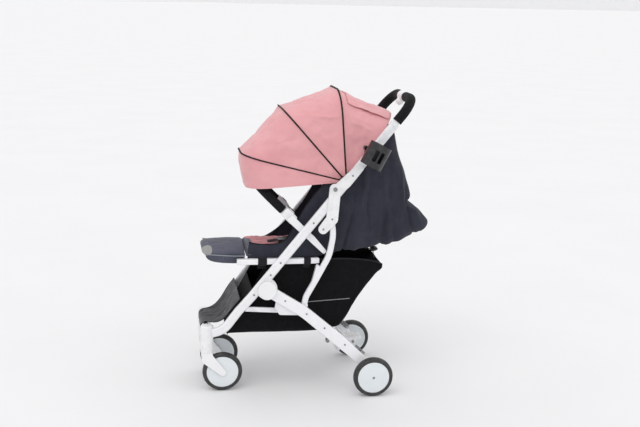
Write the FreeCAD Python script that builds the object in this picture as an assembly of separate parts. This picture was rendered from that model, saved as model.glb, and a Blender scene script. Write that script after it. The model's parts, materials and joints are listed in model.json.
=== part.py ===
"""A folding baby stroller, one STEP file per sub-part, in millimetres.

Frame: origin on the floor under the middle of the wheels, +Z up, the child looks towards -X, the left side is -Y.
Side parts are built for the right (+Y) side and mirrored to the left.
"""
import FreeCAD
import Part
import math
import os
from FreeCAD import Vector

# Wheels
WHEEL_RADIUS = 72.5
RIM_RADIUS = 57.5
REAR_WHEEL = (197.0, 72.5)
REAR_WHEEL_Y = 218.0
REAR_TYRE_WIDTH = 28.0
REAR_AXLE_RADIUS = 5.0
FRONT_WHEEL = (-342.0, 72.5)
FRONT_WHEEL_Y = 104.0
FRONT_TYRE_WIDTH = 24.0
FRONT_AXLE_RADIUS = 4.0
RUNNING_FIT = 0.05
GAP = 0.4

# Casters
CASTER_X = -398.0
HOUSING_RADIUS = 23.5
HOUSING_BOTTOM = 150.0
HOUSING_TOP = 250.0
STEM_RADIUS = 8.0
STEM_TOP = 232.0

# Main tubes: one slanted line seen from the side, through on_tube(0, 0) beside the hub
TUBE_ANGLE = math.radians(51.0)
TUBE_START = (-205.0, 411.8)
TUBE_WIDTH = 20.0
TUBE_DEPTH = 32.0
TUBE_CORNER = 7.0
FRAME_Y = 156.0
INNER_Y = FRAME_Y - TUBE_WIDTH / 2
OUTER_Y = FRAME_Y + TUBE_WIDTH / 2
MAIN_TUBE_TOP = 485.0
HUB = (-188.0, 398.0)
HUB_RADIUS = 38.0
HUB_PIN_RADIUS = 8.0
HUB_CAP_RADIUS = 33.0

# Push bar
FOLD_PIVOT = (50.0, 757.0)
FOLD_PIN_RADIUS = 6.0
HANDLE_NECK = 742.0
HANDLE_END = 847.0
HANDLE_CORNER = 70.0
HANDLE_TUBE_RADIUS = 12.0
FOAM_RADIUS = 17.5
PLATE_THICKNESS = 7.0
LINK_TOP = (41.0, 650.0)
LEVER_TIP = (10.0, 614.0)
LINK_WIDTH = 16.0

# Rear legs
LEG_WIDTH = 20.0
LEG_INNER_Y = OUTER_Y + GAP
LEG_OUTER_Y = LEG_INNER_Y + LEG_WIDTH
LINK_BOTTOM = (-52.0, 332.0)
CROSS_TUBE = (120.0, 150.0)
CROSS_TUBE_RADIUS = 9.0

# Seat
SEAT_RAIL_Z = (482.0, 502.0)
SEAT_RAIL_X = (-293.0, 3.0)
SEAT_RAIL_Y = (125.6, 145.6)
SEAT_HALF_WIDTH = 118.0
BACK_HINGE = (40.0, 535.0)
BACK_HALF_WIDTH = 116.0
CURTAIN_HALF_WIDTH = 121.5
LEG_HINGE = (-268.0, 492.0)
SEAT_TUBE = (-236.0, 492.0)
LEG_ROD_RADIUS = 5.0
LEG_HALF_WIDTH = 124.0
LEG_EDGE_Z = 516.0
LEG_CROWN_Z = 543.0
FABRIC = 2.5
BASKET_SEAM = 150.0

# Armrests and bumper: one line rising forwards at 45 degrees
ARM_ANGLE = math.radians(135.0)
ARM_START = (20.0, 525.0)
ARM_LENGTH = 178.0
ARM_Y = (135.6, 145.6)
BUMPER_Y = 106.0
BUMPER_FOAM_RADIUS = 16.0
BUMPER_END = 332.0
BUTTON_TRAVEL = 4.0

# Canopy: ribs are flat arches through one pivot, each (angle, reach, half width)
CANOPY_PIVOT = (95.0, 778.0)
CANOPY_PIN_RADIUS = 7.0
RIB_RADIUS = 3.0
RIB_CORNER = 85.0
REAR_RIB = (94.8, 321.0, 142.3)
MIDDLE_RIB = (131.6, 334.0, 136.0)
FRONT_RIB = (166.0, 378.0, 129.6)
HANDLE_EDGE = (54.5, 292.0, 142.3)
VISOR_EDGE = (185.5, 352.0, 129.6)
RIB_START = 24.0

# Cup holder, on the left handle tube
CUP_ALONG = 610.0
CUP_RADIUS = 40.0
CUP_BORE = 37.0
CUP_LENGTH = 84.0
CUP_FLOOR = 4.0
CUP_Y = 218.0
CUP_PIN_RADIUS = 5.0
CUP_ANGLE = math.radians(63.0)

Y_AXIS = Vector(0, 1, 0)
Z_AXIS = Vector(0, 0, 1)


def on_tube(along, across=0.0):
    """A side-view point on the main tube's line; across is positive towards the front."""
    c, s = math.cos(TUBE_ANGLE), math.sin(TUBE_ANGLE)
    return (TUBE_START[0] + along * c - across * s, TUBE_START[1] + along * s + across * c)


def on_arm(along, across=0.0):
    """A side-view point on the armrest's line; across is positive towards the rear and up."""
    c, s = math.cos(ARM_ANGLE), math.sin(ARM_ANGLE)
    return (ARM_START[0] + along * c + across * s, ARM_START[1] + along * s - across * c)


def at(point, y):
    """A side-view point placed at a width."""
    return Vector(point[0], y, point[1])


def mirrored(shape):
    """The same piece on the left side."""
    return shape.mirror(Vector(0, 0, 0), Y_AXIS)


def both_sides(shape):
    """A right-hand piece and its left-hand twin."""
    return [shape, mirrored(shape)]


def save(node, *pieces):
    """Writes one node as a STEP file of separate solids."""
    solids = [solid for piece in pieces for solid in piece.Solids]
    shape = solids[0] if len(solids) == 1 else Part.makeCompound(solids)
    shape.exportStep(os.path.join("parts", node + ".step"))


def rounded_path(points, radii, closed=False):
    """A wire of straight runs joined by tangent arcs; radii belong to the corners."""
    count = len(points)
    corners = range(count) if closed else range(1, count - 1)
    ends = {}
    edges = []
    for corner in corners:
        here = points[corner]
        back = (points[corner - 1] - here).normalize()
        on = (points[(corner + 1) % count] - here).normalize()
        turn = math.pi - back.getAngle(on)
        radius = radii if isinstance(radii, (int, float)) else radii[corner]
        if radius <= 0 or turn < math.radians(0.5):
            ends[corner] = (here, here)
            continue
        reach = radius * math.tan(turn / 2)
        start, stop = here + back * reach, here + on * reach
        bisector = (back + on).normalize()
        middle = here + bisector * (radius / math.cos(turn / 2) - radius)
        ends[corner] = (start, stop)
        edges.append((corner, Part.Arc(start, middle, stop).toShape()))
    arcs = dict(edges)
    wire = []
    last = count if closed else count - 1
    for index in range(last):
        following = (index + 1) % count
        if index in arcs:
            wire.append(arcs[index])
        leave = ends[index][1] if index in ends else points[index]
        arrive = ends[following][0] if following in ends else points[following]
        if leave.distanceToPoint(arrive) > 1e-3:
            wire.append(Part.LineSegment(leave, arrive).toShape())
    return Part.Wire(Part.__sortEdges__(wire))


def plate(outline, low, high, radii=0.0):
    """A flat piece: a side-view outline with rounded corners, from one width to another."""
    points = [at(point, low) for point in outline]
    face = Part.Face(rounded_path(points, radii, closed=True))
    return face.extrude(Vector(0, high - low, 0))


def pin(centre, radius, low, high):
    """A round bar along Y."""
    return Part.makeCylinder(radius, high - low, at(centre, low), Y_AXIS)


def lever(first, second, first_radius, second_radius, low, high):
    """Two rounded ends joined by their outer tangents."""
    gap = Vector(second[0] - first[0], 0, second[1] - first[1])
    along = math.atan2(gap.z, gap.x)
    spread = math.acos((first_radius - second_radius) / gap.Length)
    outline = []
    for centre, radius, turns in ((first, first_radius, (1, -1)), (second, second_radius, (-1, 1))):
        for turn in turns:
            angle = along + turn * spread
            outline.append((centre[0] + radius * math.cos(angle), centre[1] + radius * math.sin(angle)))
    body = plate(outline, low, high)
    return body.fuse([pin(first, first_radius, low, high), pin(second, second_radius, low, high)]).removeSplitter()


def softened(solid, radius, test):
    """Rounds the edges that the test picks."""
    return solid.makeFillet(radius, [edge for edge in solid.Edges if test(edge)])


def flat_at(widths):
    """Picks the outline edges that lie at one of the widths."""
    return lambda edge: any(
        abs(edge.BoundBox.YMin - y) < 1e-4 and abs(edge.BoundBox.YMax - y) < 1e-4 for y in widths
    )


def section(width, depth, corner, start, direction):
    """A rounded rectangle across a path's start, with its width along Y."""
    deep = Vector(direction.x, 0, direction.z).normalize().cross(Y_AXIS)
    points = [
        start + Y_AXIS * (x * width / 2) + deep * (z * depth / 2)
        for x, z in ((-1, -1), (1, -1), (1, 1), (-1, 1))
    ]
    return rounded_path(points, corner, closed=True)


def swept_bar(points, radii, width, depth, corner):
    """A bar of rounded rectangular section that follows a bent path."""
    path = rounded_path(points, radii)
    maker = Part.BRepOffsetAPI.MakePipeShell(path)
    maker.setBiNormalMode(Y_AXIS)
    maker.add(section(width, depth, corner, points[0], points[1] - points[0]))
    maker.build()
    maker.makeSolid()
    return maker.shape()


def swept_rod(points, radii, radius):
    """A round bar that follows a bent path."""
    path = rounded_path(points, radii)
    circle = Part.Wire(Part.makeCircle(radius, points[0], points[1] - points[0]))
    return path.makePipeShell([circle], True, False)


def turned(profile, centre, side):
    """A wheel piece: (radius, outward offset) points turned about Y."""
    points = [Vector(centre[0] + radius, centre[2] + side * y, centre[1]) for radius, y in profile]
    face = Part.Face(Part.makePolygon(points + points[:1]))
    return face.revolve(Vector(centre[0], centre[2], centre[1]), Y_AXIS, 360)


def tyre(centre, width):
    """A tyre with a crowned tread."""
    half = width / 2
    crown = [(WHEEL_RADIUS - 6.0, half), (WHEEL_RADIUS - 1.8, half - 4.0), (WHEEL_RADIUS, half - 9.0)]
    profile = [(RIM_RADIUS, -half + 1.5), (RIM_RADIUS, half - 1.5), (RIM_RADIUS + 2.5, half)]
    profile += crown
    profile += [(radius, -offset) for radius, offset in reversed(crown)]
    profile += [(RIM_RADIUS + 2.5, -half)]
    return turned(profile, centre, 1)


def disc(centre, width, bore, side):
    """A closed wheel disc with a shallow dome on its outer face."""
    half = width / 2
    profile = [
        (bore, -half + 3.0),
        (RIM_RADIUS - 8.0, -half + 3.0),
        (RIM_RADIUS - 5.0, -half + 1.5),
        (RIM_RADIUS, -half + 1.5),
        (RIM_RADIUS, half - 1.5),
        (RIM_RADIUS - 3.0, half - 0.5),
        (RIM_RADIUS - 22.0, half + 1.0),
        (bore + 8.0, half + 1.8),
        (bore, half + 1.8),
    ]
    return turned(profile, centre, side)


# ---------------------------------------------------------------- wheels and casters
def build_rear_wheels():
    for name, side in (("left", -1), ("right", 1)):
        centre = (*REAR_WHEEL, side * REAR_WHEEL_Y)
        save("rear_tyre_" + name, tyre(centre, REAR_TYRE_WIDTH))
        bore = REAR_AXLE_RADIUS + RUNNING_FIT
        save("rear_disc_" + name, disc(centre, REAR_TYRE_WIDTH, bore, side))


def build_front_casters():
    blade_inner = FRONT_TYRE_WIDTH / 2 + 4.0
    blade_outer = blade_inner + 5.0
    crown_bottom = HOUSING_BOTTOM - 10.5
    crown_top = HOUSING_BOTTOM - GAP
    for name, side in (("left", -1), ("right", 1)):
        middle = side * FRONT_WHEEL_Y
        centre = (*FRONT_WHEEL, middle)
        save("front_tyre_" + name, tyre(centre, FRONT_TYRE_WIDTH))
        bore = FRONT_AXLE_RADIUS + RUNNING_FIT
        save("front_disc_" + name, disc(centre, FRONT_TYRE_WIDTH, bore, side))
        crown = plate(
            [(CASTER_X - 21, crown_bottom), (CASTER_X + 21, crown_bottom),
             (CASTER_X + 19, crown_top), (CASTER_X - 19, crown_top)],
            middle - blade_outer, middle + blade_outer,
        )
        blades = []
        for low in (-blade_outer, blade_inner):
            high = low + blade_outer - blade_inner
            blade = lever((CASTER_X + 2, 127.0), FRONT_WHEEL, 22.0, 13.0, middle + low, middle + high)
            blades.append(softened(blade, 1.8, flat_at([middle + low, middle + high])))
        stem = Part.makeCylinder(
            STEM_RADIUS, STEM_TOP - crown_top + 5, Vector(CASTER_X, middle, crown_top - 5), Z_AXIS
        )
        axle = pin(FRONT_WHEEL, FRONT_AXLE_RADIUS, middle - blade_inner, middle + blade_inner)
        save("front_fork_" + name, crown.fuse(blades + [stem]).removeSplitter(), axle)


def caster_housing():
    """One upright socket for a caster's stem."""
    height = HOUSING_TOP - HOUSING_BOTTOM
    base = Vector(CASTER_X, FRONT_WHEEL_Y, HOUSING_BOTTOM)
    body = Part.makeCylinder(HOUSING_RADIUS, height, base, Z_AXIS)
    body = softened(body, 6.0, lambda edge: edge.BoundBox.ZMin > HOUSING_TOP - 1e-3)
    bore = Part.makeCylinder(STEM_RADIUS + RUNNING_FIT, STEM_TOP + 2 - HOUSING_BOTTOM, base, Z_AXIS)
    return body.cut(bore)


# ---------------------------------------------------------------- chassis
def main_tube():
    """The long tube from the caster housing to the fold joint, with the ear of the fold pivot."""
    points = [
        Vector(CASTER_X, FRONT_WHEEL_Y, 214.0),
        Vector(-338.0, 122.0, 236.0),
        at(on_tube(-130.0), 139.0),
        at(on_tube(-56.0), FRAME_Y),
        at(on_tube(MAIN_TUBE_TOP), FRAME_Y),
    ]
    bar = swept_bar(points, {1: 90.0, 2: 120.0, 3: 90.0}, TUBE_WIDTH, TUBE_DEPTH, TUBE_CORNER)
    along = 428.7
    ear = lever(FOLD_PIVOT, on_tube(along), 12.0, 14.0, INNER_Y + 1, OUTER_Y - 1)
    socket = Part.makeCylinder(
        HOUSING_RADIUS, 200.0, Vector(CASTER_X, FRONT_WHEEL_Y, HOUSING_BOTTOM - 50), Z_AXIS
    )
    return bar.fuse(ear).cut(socket).removeSplitter()


def hub_casing(tube):
    """The round casing beside the tube that carries the rear leg's pivot pin."""
    body = pin(HUB, HUB_RADIUS, INNER_Y + 1.5, OUTER_Y)
    body = softened(body, 3.0, flat_at([INNER_Y + 1.5])).cut(tube)
    body = max(body.Solids, key=lambda solid: solid.Volume)
    return body.fuse(pin(HUB, HUB_PIN_RADIUS, OUTER_Y, LEG_OUTER_Y + GAP)).removeSplitter()


def hub_cap():
    """The round cover over the rear leg's pivot."""
    low = LEG_OUTER_Y + GAP
    cap = pin(HUB, HUB_CAP_RADIUS, low, low + 8.0)
    return softened(cap, 3.0, flat_at([low + 8.0]))


def lower_brace(tube):
    """The flat brace from the front leg back to the inner side of the rear leg's gusset."""
    start, stop = Vector(-262.0, 140.0, 318.0), Vector(-136.0, 157.0, 315.0)
    brace = swept_bar([start, stop], {}, 10.0, 18.0, 3.0)
    brace = brace.cut(tube)
    return max(brace.Solids, key=lambda solid: solid.Volume)


def seat_rail():
    """One side rail under the seat."""
    outline = [(x, z) for x, z in zip(
        (SEAT_RAIL_X[0], SEAT_RAIL_X[1], SEAT_RAIL_X[1], SEAT_RAIL_X[0]),
        (SEAT_RAIL_Z[0], SEAT_RAIL_Z[0], SEAT_RAIL_Z[1], SEAT_RAIL_Z[1]),
    )]
    rail = plate(outline, *SEAT_RAIL_Y, 4.0)
    return softened(rail, 3.0, flat_at(SEAT_RAIL_Y))


def armrest_arm():
    """The flat arm that crosses inside the main tube and carries the bumper's socket."""
    outline = [
        on_arm(-6.0, -8.0), on_arm(ARM_LENGTH, -14.0), on_arm(ARM_LENGTH, 14.0),
        on_arm(60.0, 14.0), on_arm(-6.0, 8.0),
    ]
    arm = plate(outline, *ARM_Y, {0: 7.0, 1: 3.0, 2: 3.0, 3: 60.0, 4: 7.0})
    return softened(arm, 2.0, flat_at(ARM_Y))


def bumper_socket():
    """The moulded socket on the arm that the bumper's stub slides into."""
    start, stop = ARM_LENGTH - 22.0, ARM_LENGTH + 30.0
    low, high = BUMPER_Y - 15.0, ARM_Y[0]
    outline = [on_arm(start, -15.0), on_arm(stop, -15.0), on_arm(stop, 19.0), on_arm(start, 19.0)]
    body = softened(plate(outline, low, high, 6.0), 3.0, flat_at([low]))
    axis = Vector(math.cos(ARM_ANGLE), 0, math.sin(ARM_ANGLE))
    bore = Part.makeCylinder(9.05, 60.0, at(on_arm(stop - 40.0), BUMPER_Y), axis)
    pocket = button_block(0.4, BUTTON_TRAVEL + 0.5)
    return body.cut([bore, pocket])


def button_block(grow, deeper):
    """The release button's block on the rear face of the bumper's socket."""
    near, far = ARM_LENGTH - 6.0 - grow, ARM_LENGTH + 16.0 + grow
    floor, top = 14.5 - deeper, 22.5
    outline = [on_arm(near, floor), on_arm(far, floor), on_arm(far, top), on_arm(near, top)]
    return plate(outline, BUMPER_Y - 7.0 - grow, BUMPER_Y + 7.0 + grow)


def bumper_bar():
    """The padded bar in front of the child, with a bare stub at each end."""
    foam_start = ARM_LENGTH + 31.0
    corner = at(on_arm(BUMPER_END), BUMPER_Y)
    points = [at(on_arm(foam_start), BUMPER_Y), corner, mirrored_point(corner)]
    points.append(at(on_arm(foam_start), -BUMPER_Y))
    foam = swept_rod(points, {1: 62.0, 2: 62.0}, BUMPER_FOAM_RADIUS)
    axis = Vector(math.cos(ARM_ANGLE), 0, math.sin(ARM_ANGLE))
    stubs = [
        Part.makeCylinder(9.0, 43.0, at(on_arm(ARM_LENGTH - 8.0), side * BUMPER_Y), axis) for side in (-1, 1)
    ]
    return foam.fuse(stubs)


def mirrored_point(point):
    return Vector(point.x, -point.y, point.z)


def rivets(places, low, radius=3.4, height=1.4):
    """Low rivet heads on the outer face, on both sides."""
    heads = []
    for place in places:
        head = softened(pin(place, radius, low, low + height), 0.8, flat_at([low + height]))
        heads += both_sides(head)
    return heads


def build_chassis():
    tube = main_tube()
    save("main_tube_right", tube)
    save("main_tube_left", mirrored(tube))
    save("caster_housings", *both_sides(caster_housing()))
    save("hub_casings", *both_sides(hub_casing(tube)))
    save("hub_caps", *both_sides(hub_cap()))
    save("lower_braces", *both_sides(lower_brace(tube)))
    housing = Part.makeCylinder(HOUSING_RADIUS, 200.0, Vector(CASTER_X, FRONT_WHEEL_Y, 100), Z_AXIS)
    bar = pin((CASTER_X, 236.0), 9.0, -FRONT_WHEEL_Y, FRONT_WHEEL_Y).cut(both_sides(housing))
    save("front_cross_tube", bar)
    save("seat_rails", *both_sides(seat_rail()))
    rods = ((SEAT_TUBE, 7.5), (LEG_HINGE, LEG_ROD_RADIUS))
    save("seat_cross_rods", *[pin(place, radius, -SEAT_RAIL_Y[0], SEAT_RAIL_Y[0]) for place, radius in rods])
    save("armrest_arms", *both_sides(armrest_arm()))
    save("bumper_sockets", *both_sides(bumper_socket()))
    save("bumper_bar", bumper_bar())
    button = button_block(0.0, 0.0)
    save("bumper_button_right", button)
    save("bumper_button_left", mirrored(button))
    low = OUTER_Y
    places = [on_tube(along) for along in (-45.0, 48.0, 104.0, 288.0)]
    heads = rivets(places, low)
    fold_pin = pin(FOLD_PIVOT, FOLD_PIN_RADIUS, OUTER_Y - 1, OUTER_Y + GAP + PLATE_THICKNESS + 1)
    head = pin(FOLD_PIVOT, 7.5, OUTER_Y + PLATE_THICKNESS + 1, OUTER_Y + PLATE_THICKNESS + 2.6)
    heads += both_sides(fold_pin.fuse(head).removeSplitter())
    save("frame_rivets", *heads)
    clip = pin(CANOPY_PIVOT, CANOPY_PIN_RADIUS, 122.0, INNER_Y)
    clip = clip.fuse(pin(CANOPY_PIVOT, 12.0, 122.0, 125.4)).removeSplitter()
    save("canopy_clips", *both_sides(clip))


# ---------------------------------------------------------------- push bar
def build_push_bar():
    start, neck = on_tube(MAIN_TUBE_TOP + GAP), on_tube(HANDLE_NECK)
    side = swept_bar([at(start, FRAME_Y), at(neck, FRAME_Y)], {}, TUBE_WIDTH, TUBE_DEPTH, TUBE_CORNER)
    points = [at(on_tube(HANDLE_NECK - 12.0), FRAME_Y), at(on_tube(HANDLE_END), FRAME_Y)]
    points += [mirrored_point(point) for point in reversed(points)]
    radii = {1: HANDLE_CORNER, 2: HANDLE_CORNER}
    loop = swept_rod(points, radii, HANDLE_TUBE_RADIUS)
    bar = loop.fuse(both_sides(side)).removeSplitter()
    save("push_bar_tube", bar)
    foam = swept_rod(points, radii, FOAM_RADIUS)
    window = Part.makeBox(400.0, 60.0, 500.0, Vector(100.0, -30.0, 800.0))
    floor = plate(
        [on_tube(HANDLE_NECK + 8, -60), on_tube(HANDLE_NECK + 8, 60), on_tube(400, 60), on_tube(400, -60)],
        -200.0, 200.0,
    )
    foam = foam.cut([window, floor, bar])
    save("foam_grips", *[solid for solid in foam.Solids if solid.Volume > 1e4])
    build_button_housing(loop)
    build_fold_plates()


def build_button_housing(loop):
    """The centre moulding of the handle with its release button."""
    outward = Vector(-0.64, 0, -0.77).normalize()
    centre = at(on_tube(HANDLE_END), 0.0)
    body = pin(on_tube(HANDLE_END), 20.0, -29.5, 29.5)
    body = softened(body, 4.0, flat_at([-29.5, 29.5]))
    neck = Part.makeCylinder(14.0, 30.0, centre, outward)
    well = Part.makeCylinder(10.3, 20.0, centre + outward * 20.0, outward)
    body = body.fuse(neck).removeSplitter().cut([loop, well])
    save("button_housing", *body.Solids)
    button = Part.makeCylinder(10.0, 11.0, centre + outward * 26.0, outward)
    save("fold_button", softened(button, 2.0, lambda edge: edge.CenterOfMass.distanceToPoint(centre) > 36.0))


def build_fold_plates():
    """The cast side plates that join the push bar to the fold pivot and carry the side links."""
    low = OUTER_Y + GAP
    high = low + PLATE_THICKNESS
    upper = plate(
        [on_tube(470.0, -15.0), on_tube(552.0, -14.0), on_tube(552.0, 14.0), on_tube(440.0, 30.0),
         on_tube(410.0, 26.0), on_tube(400.0, -2.0)],
        low, high, {0: 6.0, 1: 8.0, 2: 8.0, 3: 16.0, 4: 14.0, 5: 6.0},
    )
    middle = lever(FOLD_PIVOT, LINK_TOP, 20.0, 21.0, low, high)
    tip = lever(LINK_TOP, LEVER_TIP, 21.0, 17.0, low, high)
    body = upper.fuse([middle, tip]).removeSplitter()
    body = body.cut(pin(FOLD_PIVOT, FOLD_PIN_RADIUS + RUNNING_FIT, low - 1, high + 1))
    foot = plate(
        [on_tube(492.0, -13.0), on_tube(548.0, -13.0), on_tube(548.0, 13.0), on_tube(492.0, 13.0)],
        OUTER_Y, low,
    )
    save("fold_plates", *both_sides(body.fuse(foot).removeSplitter()))
    places = [LEVER_TIP, on_tube(505.0, 2.0)]
    link_pin = pin(LINK_TOP, 6.0, low - LINK_WIDTH - GAP, low)
    link_pin = link_pin.fuse(pin(LINK_TOP, 3.4, high, high + 1.4))
    heads = rivets(places, high)
    save("plate_rivets", *heads, *[solid for shape in both_sides(link_pin) for solid in shape.Solids])


def side_link():
    """The S-shaped link from the fold plate down to the rear leg, with its small side strut."""
    high = OUTER_Y - 0.6
    low = high - LINK_WIDTH
    middle = (low + high) / 2
    route = [LINK_TOP, (49.0, 590.0), (36.0, 515.0), (-8.0, 432.0), (-47.0, 362.0), LINK_BOTTOM]
    radii = {1: 160.0, 2: 150.0, 3: 150.0, 4: 80.0}
    bar = swept_bar([at(point, middle) for point in route], radii, LINK_WIDTH, 21.0, 4.0)
    eyes = [pin(LINK_TOP, 13.0, low, high), pin(LINK_BOTTOM, 12.5, low, high)]
    strut = lever((-5.0, 474.0), (-18.0, 418.0), 7.0, 8.0, low, high)
    body = bar.fuse(eyes + [strut]).removeSplitter()
    return body.cut(pin(LINK_TOP, 6.0 + RUNNING_FIT, low - 1, high + 1))


def build_side_links():
    link = side_link()
    save("side_link_right", link)
    save("side_link_left", mirrored(link))


def build_cup_holder():
    """The cup holder, its open clamp on the left handle tube and the pin that it tilts on."""
    clamp = plate(
        [on_tube(CUP_ALONG - 17, -20), on_tube(CUP_ALONG + 17, -20), on_tube(CUP_ALONG + 17, 20),
         on_tube(CUP_ALONG - 17, 20)],
        INNER_Y + 1.0, OUTER_Y + 6.0, 6.0,
    )
    tube = plate(
        [on_tube(CUP_ALONG - 30, -16), on_tube(CUP_ALONG + 30, -16), on_tube(CUP_ALONG + 30, 16),
         on_tube(CUP_ALONG - 30, 16)],
        INNER_Y, OUTER_Y,
    )
    axle = pin(on_tube(CUP_ALONG), CUP_PIN_RADIUS, OUTER_Y + 5.0, OUTER_Y + 13.5)
    knob = pin(on_tube(CUP_ALONG, 26.0), 8.0, FRAME_Y - 10.0, FRAME_Y + 10.0)
    body = clamp.fuse([axle, knob]).removeSplitter().cut(tube)
    save("cup_clamp", mirrored(body))
    axis = Vector(math.cos(CUP_ANGLE), 0, math.sin(CUP_ANGLE))
    base = at(on_tube(CUP_ALONG, -4.0), CUP_Y) - axis * (CUP_LENGTH / 2)
    shell = Part.makeCylinder(CUP_RADIUS, CUP_LENGTH, base, axis)
    hollow = Part.makeCylinder(CUP_BORE, CUP_LENGTH, base + axis * CUP_FLOOR, axis)
    rest = plate(
        [on_tube(CUP_ALONG - 22, -16), on_tube(CUP_ALONG + 22, -16), on_tube(CUP_ALONG + 22, 16),
         on_tube(CUP_ALONG - 22, 16)],
        OUTER_Y + 6.4, CUP_Y - CUP_BORE + 6.0, 5.0,
    )
    windows = []
    for angle in (75.0, 105.0):
        window = Part.makeBox(14.0, 30.0, 40.0, Vector(-7.0, CUP_BORE - 12.0, 22.0))
        window.rotate(Vector(0, 0, 0), Z_AXIS, angle - 90.0)
        window.Placement = FreeCAD.Placement(base, FreeCAD.Rotation(Z_AXIS, axis)).multiply(window.Placement)
        windows.append(window)
    body = shell.fuse(rest).removeSplitter().cut([hollow] + windows)
    body = body.cut(pin(on_tube(CUP_ALONG), CUP_PIN_RADIUS + RUNNING_FIT, OUTER_Y, OUTER_Y + 14.0))
    save("cup_holder", mirrored(body))


# ---------------------------------------------------------------- rear legs
def rear_leg():
    """The slightly bowed rear leg with its pivot eye and the wheel's bracket."""
    upper = [(-160.0, 404.0), (-43.0, 330.0), (74.0, 231.0), (172.0, 138.0)]
    lower = [(146.0, 112.0), (49.0, 196.0), (-67.0, 297.0), (-182.0, 370.0)]
    radii = {0: 10.0, 1: 300.0, 2: 300.0, 3: 8.0, 4: 8.0, 5: 300.0, 6: 300.0, 7: 10.0}
    widths = (LEG_INNER_Y, LEG_OUTER_Y)
    leg = plate(upper + lower, *widths, radii)
    eye = pin(HUB, 29.0, *widths)
    bracket = lever((158.0, 124.0), REAR_WHEEL, 17.0, 13.0, *widths)
    body = leg.fuse([eye, bracket]).removeSplitter()
    body = softened(body, 4.0, flat_at(widths))
    body = body.cut(pin(HUB, HUB_PIN_RADIUS + RUNNING_FIT, 0.0, 300.0))
    return body.cut(pin(REAR_WHEEL, REAR_AXLE_RADIUS, 0.0, 300.0))


def leg_gusset():
    """The gusset under the rear leg, beside the end of the lower brace."""
    outline = [(-152.0, 372.0), (-60.0, 322.0), (-74.0, 300.0), (-142.0, 303.0), (-160.0, 330.0)]
    return plate(outline, LEG_INNER_Y, LEG_INNER_Y + 8.0, 7.0)


def build_rear_legs():
    leg = rear_leg().fuse(leg_gusset()).removeSplitter()
    leg = leg.cut(pin(HUB, HUB_PIN_RADIUS + RUNNING_FIT, 0.0, 300.0))
    save("rear_leg_right", leg)
    save("rear_leg_left", mirrored(leg))
    cross = pin(CROSS_TUBE, CROSS_TUBE_RADIUS, -LEG_INNER_Y, LEG_INNER_Y)
    save("rear_cross_tube", cross)
    axle = pin(REAR_WHEEL, REAR_AXLE_RADIUS, LEG_INNER_Y - 6.0, REAR_WHEEL_Y + 15.0)
    spring_y = LEG_INNER_Y - 11.0
    helix = Part.makeHelix(5.2, 46.0, 8.0)
    profile = Part.Wire(Part.makeCircle(1.3, Vector(8.0, 0, 0), Y_AXIS))
    spring = Part.Wire(helix).makePipeShell([profile], True, True)
    lean = FreeCAD.Rotation(Z_AXIS, Vector(0.72, 0, -0.69))
    spring.Placement = FreeCAD.Placement(Vector(139.0, spring_y, 168.0), lean)
    save("suspension_springs", *both_sides(spring))
    stop = pin((36.0, 196.0), 7.0, LEG_INNER_Y - 16.0, LEG_INNER_Y)
    places = [(-46.0, 307.0), (20.0, 252.0), (96.0, 186.0), (-124.0, 358.0)]
    save("leg_fittings", *both_sides(axle), *both_sides(stop), *rivets(places, LEG_OUTER_Y))
    ring = pin(CROSS_TUBE, 14.0, -28.0, 28.0)
    pad = plate([(128.0, 146.0), (186.0, 152.0), (192.0, 158.0), (184.0, 160.0), (128.0, 156.0)], -28.0, 28.0, 2.0)
    hook = lever(CROSS_TUBE, (101.0, 110.0), 12.0, 6.0, -28.0, 28.0)
    pedal = ring.fuse([pad, hook]).removeSplitter()
    save("brake_pedal", pedal.cut(pin(CROSS_TUBE, CROSS_TUBE_RADIUS + RUNNING_FIT, -30.0, 30.0)))


# ---------------------------------------------------------------- soft parts
def band(route, thickness, half_width, radii=0.0):
    """A sheet of even thickness that follows a side-view route, across the width."""
    normals = []
    for first, second in zip(route, route[1:]):
        length = math.dist(first, second)
        normals.append(((first[1] - second[1]) / length, (second[0] - first[0]) / length))
    far = []
    for index, point in enumerate(route):
        before = normals[max(index - 1, 0)]
        after = normals[min(index, len(normals) - 1)]
        mitre = 1 + before[0] * after[0] + before[1] * after[1]
        far.append(tuple(point[k] + thickness * (before[k] + after[k]) / mitre for k in (0, 1)))
    return plate(route + far[::-1], -half_width, half_width, radii)


def shell(outer, inner, half_width):
    """A fabric box with walls all round, open where the inner outline runs past the outer one."""
    solid = plate(outer, -half_width, half_width)
    return solid.cut(plate(inner, -half_width + FABRIC, half_width - FABRIC))


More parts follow.
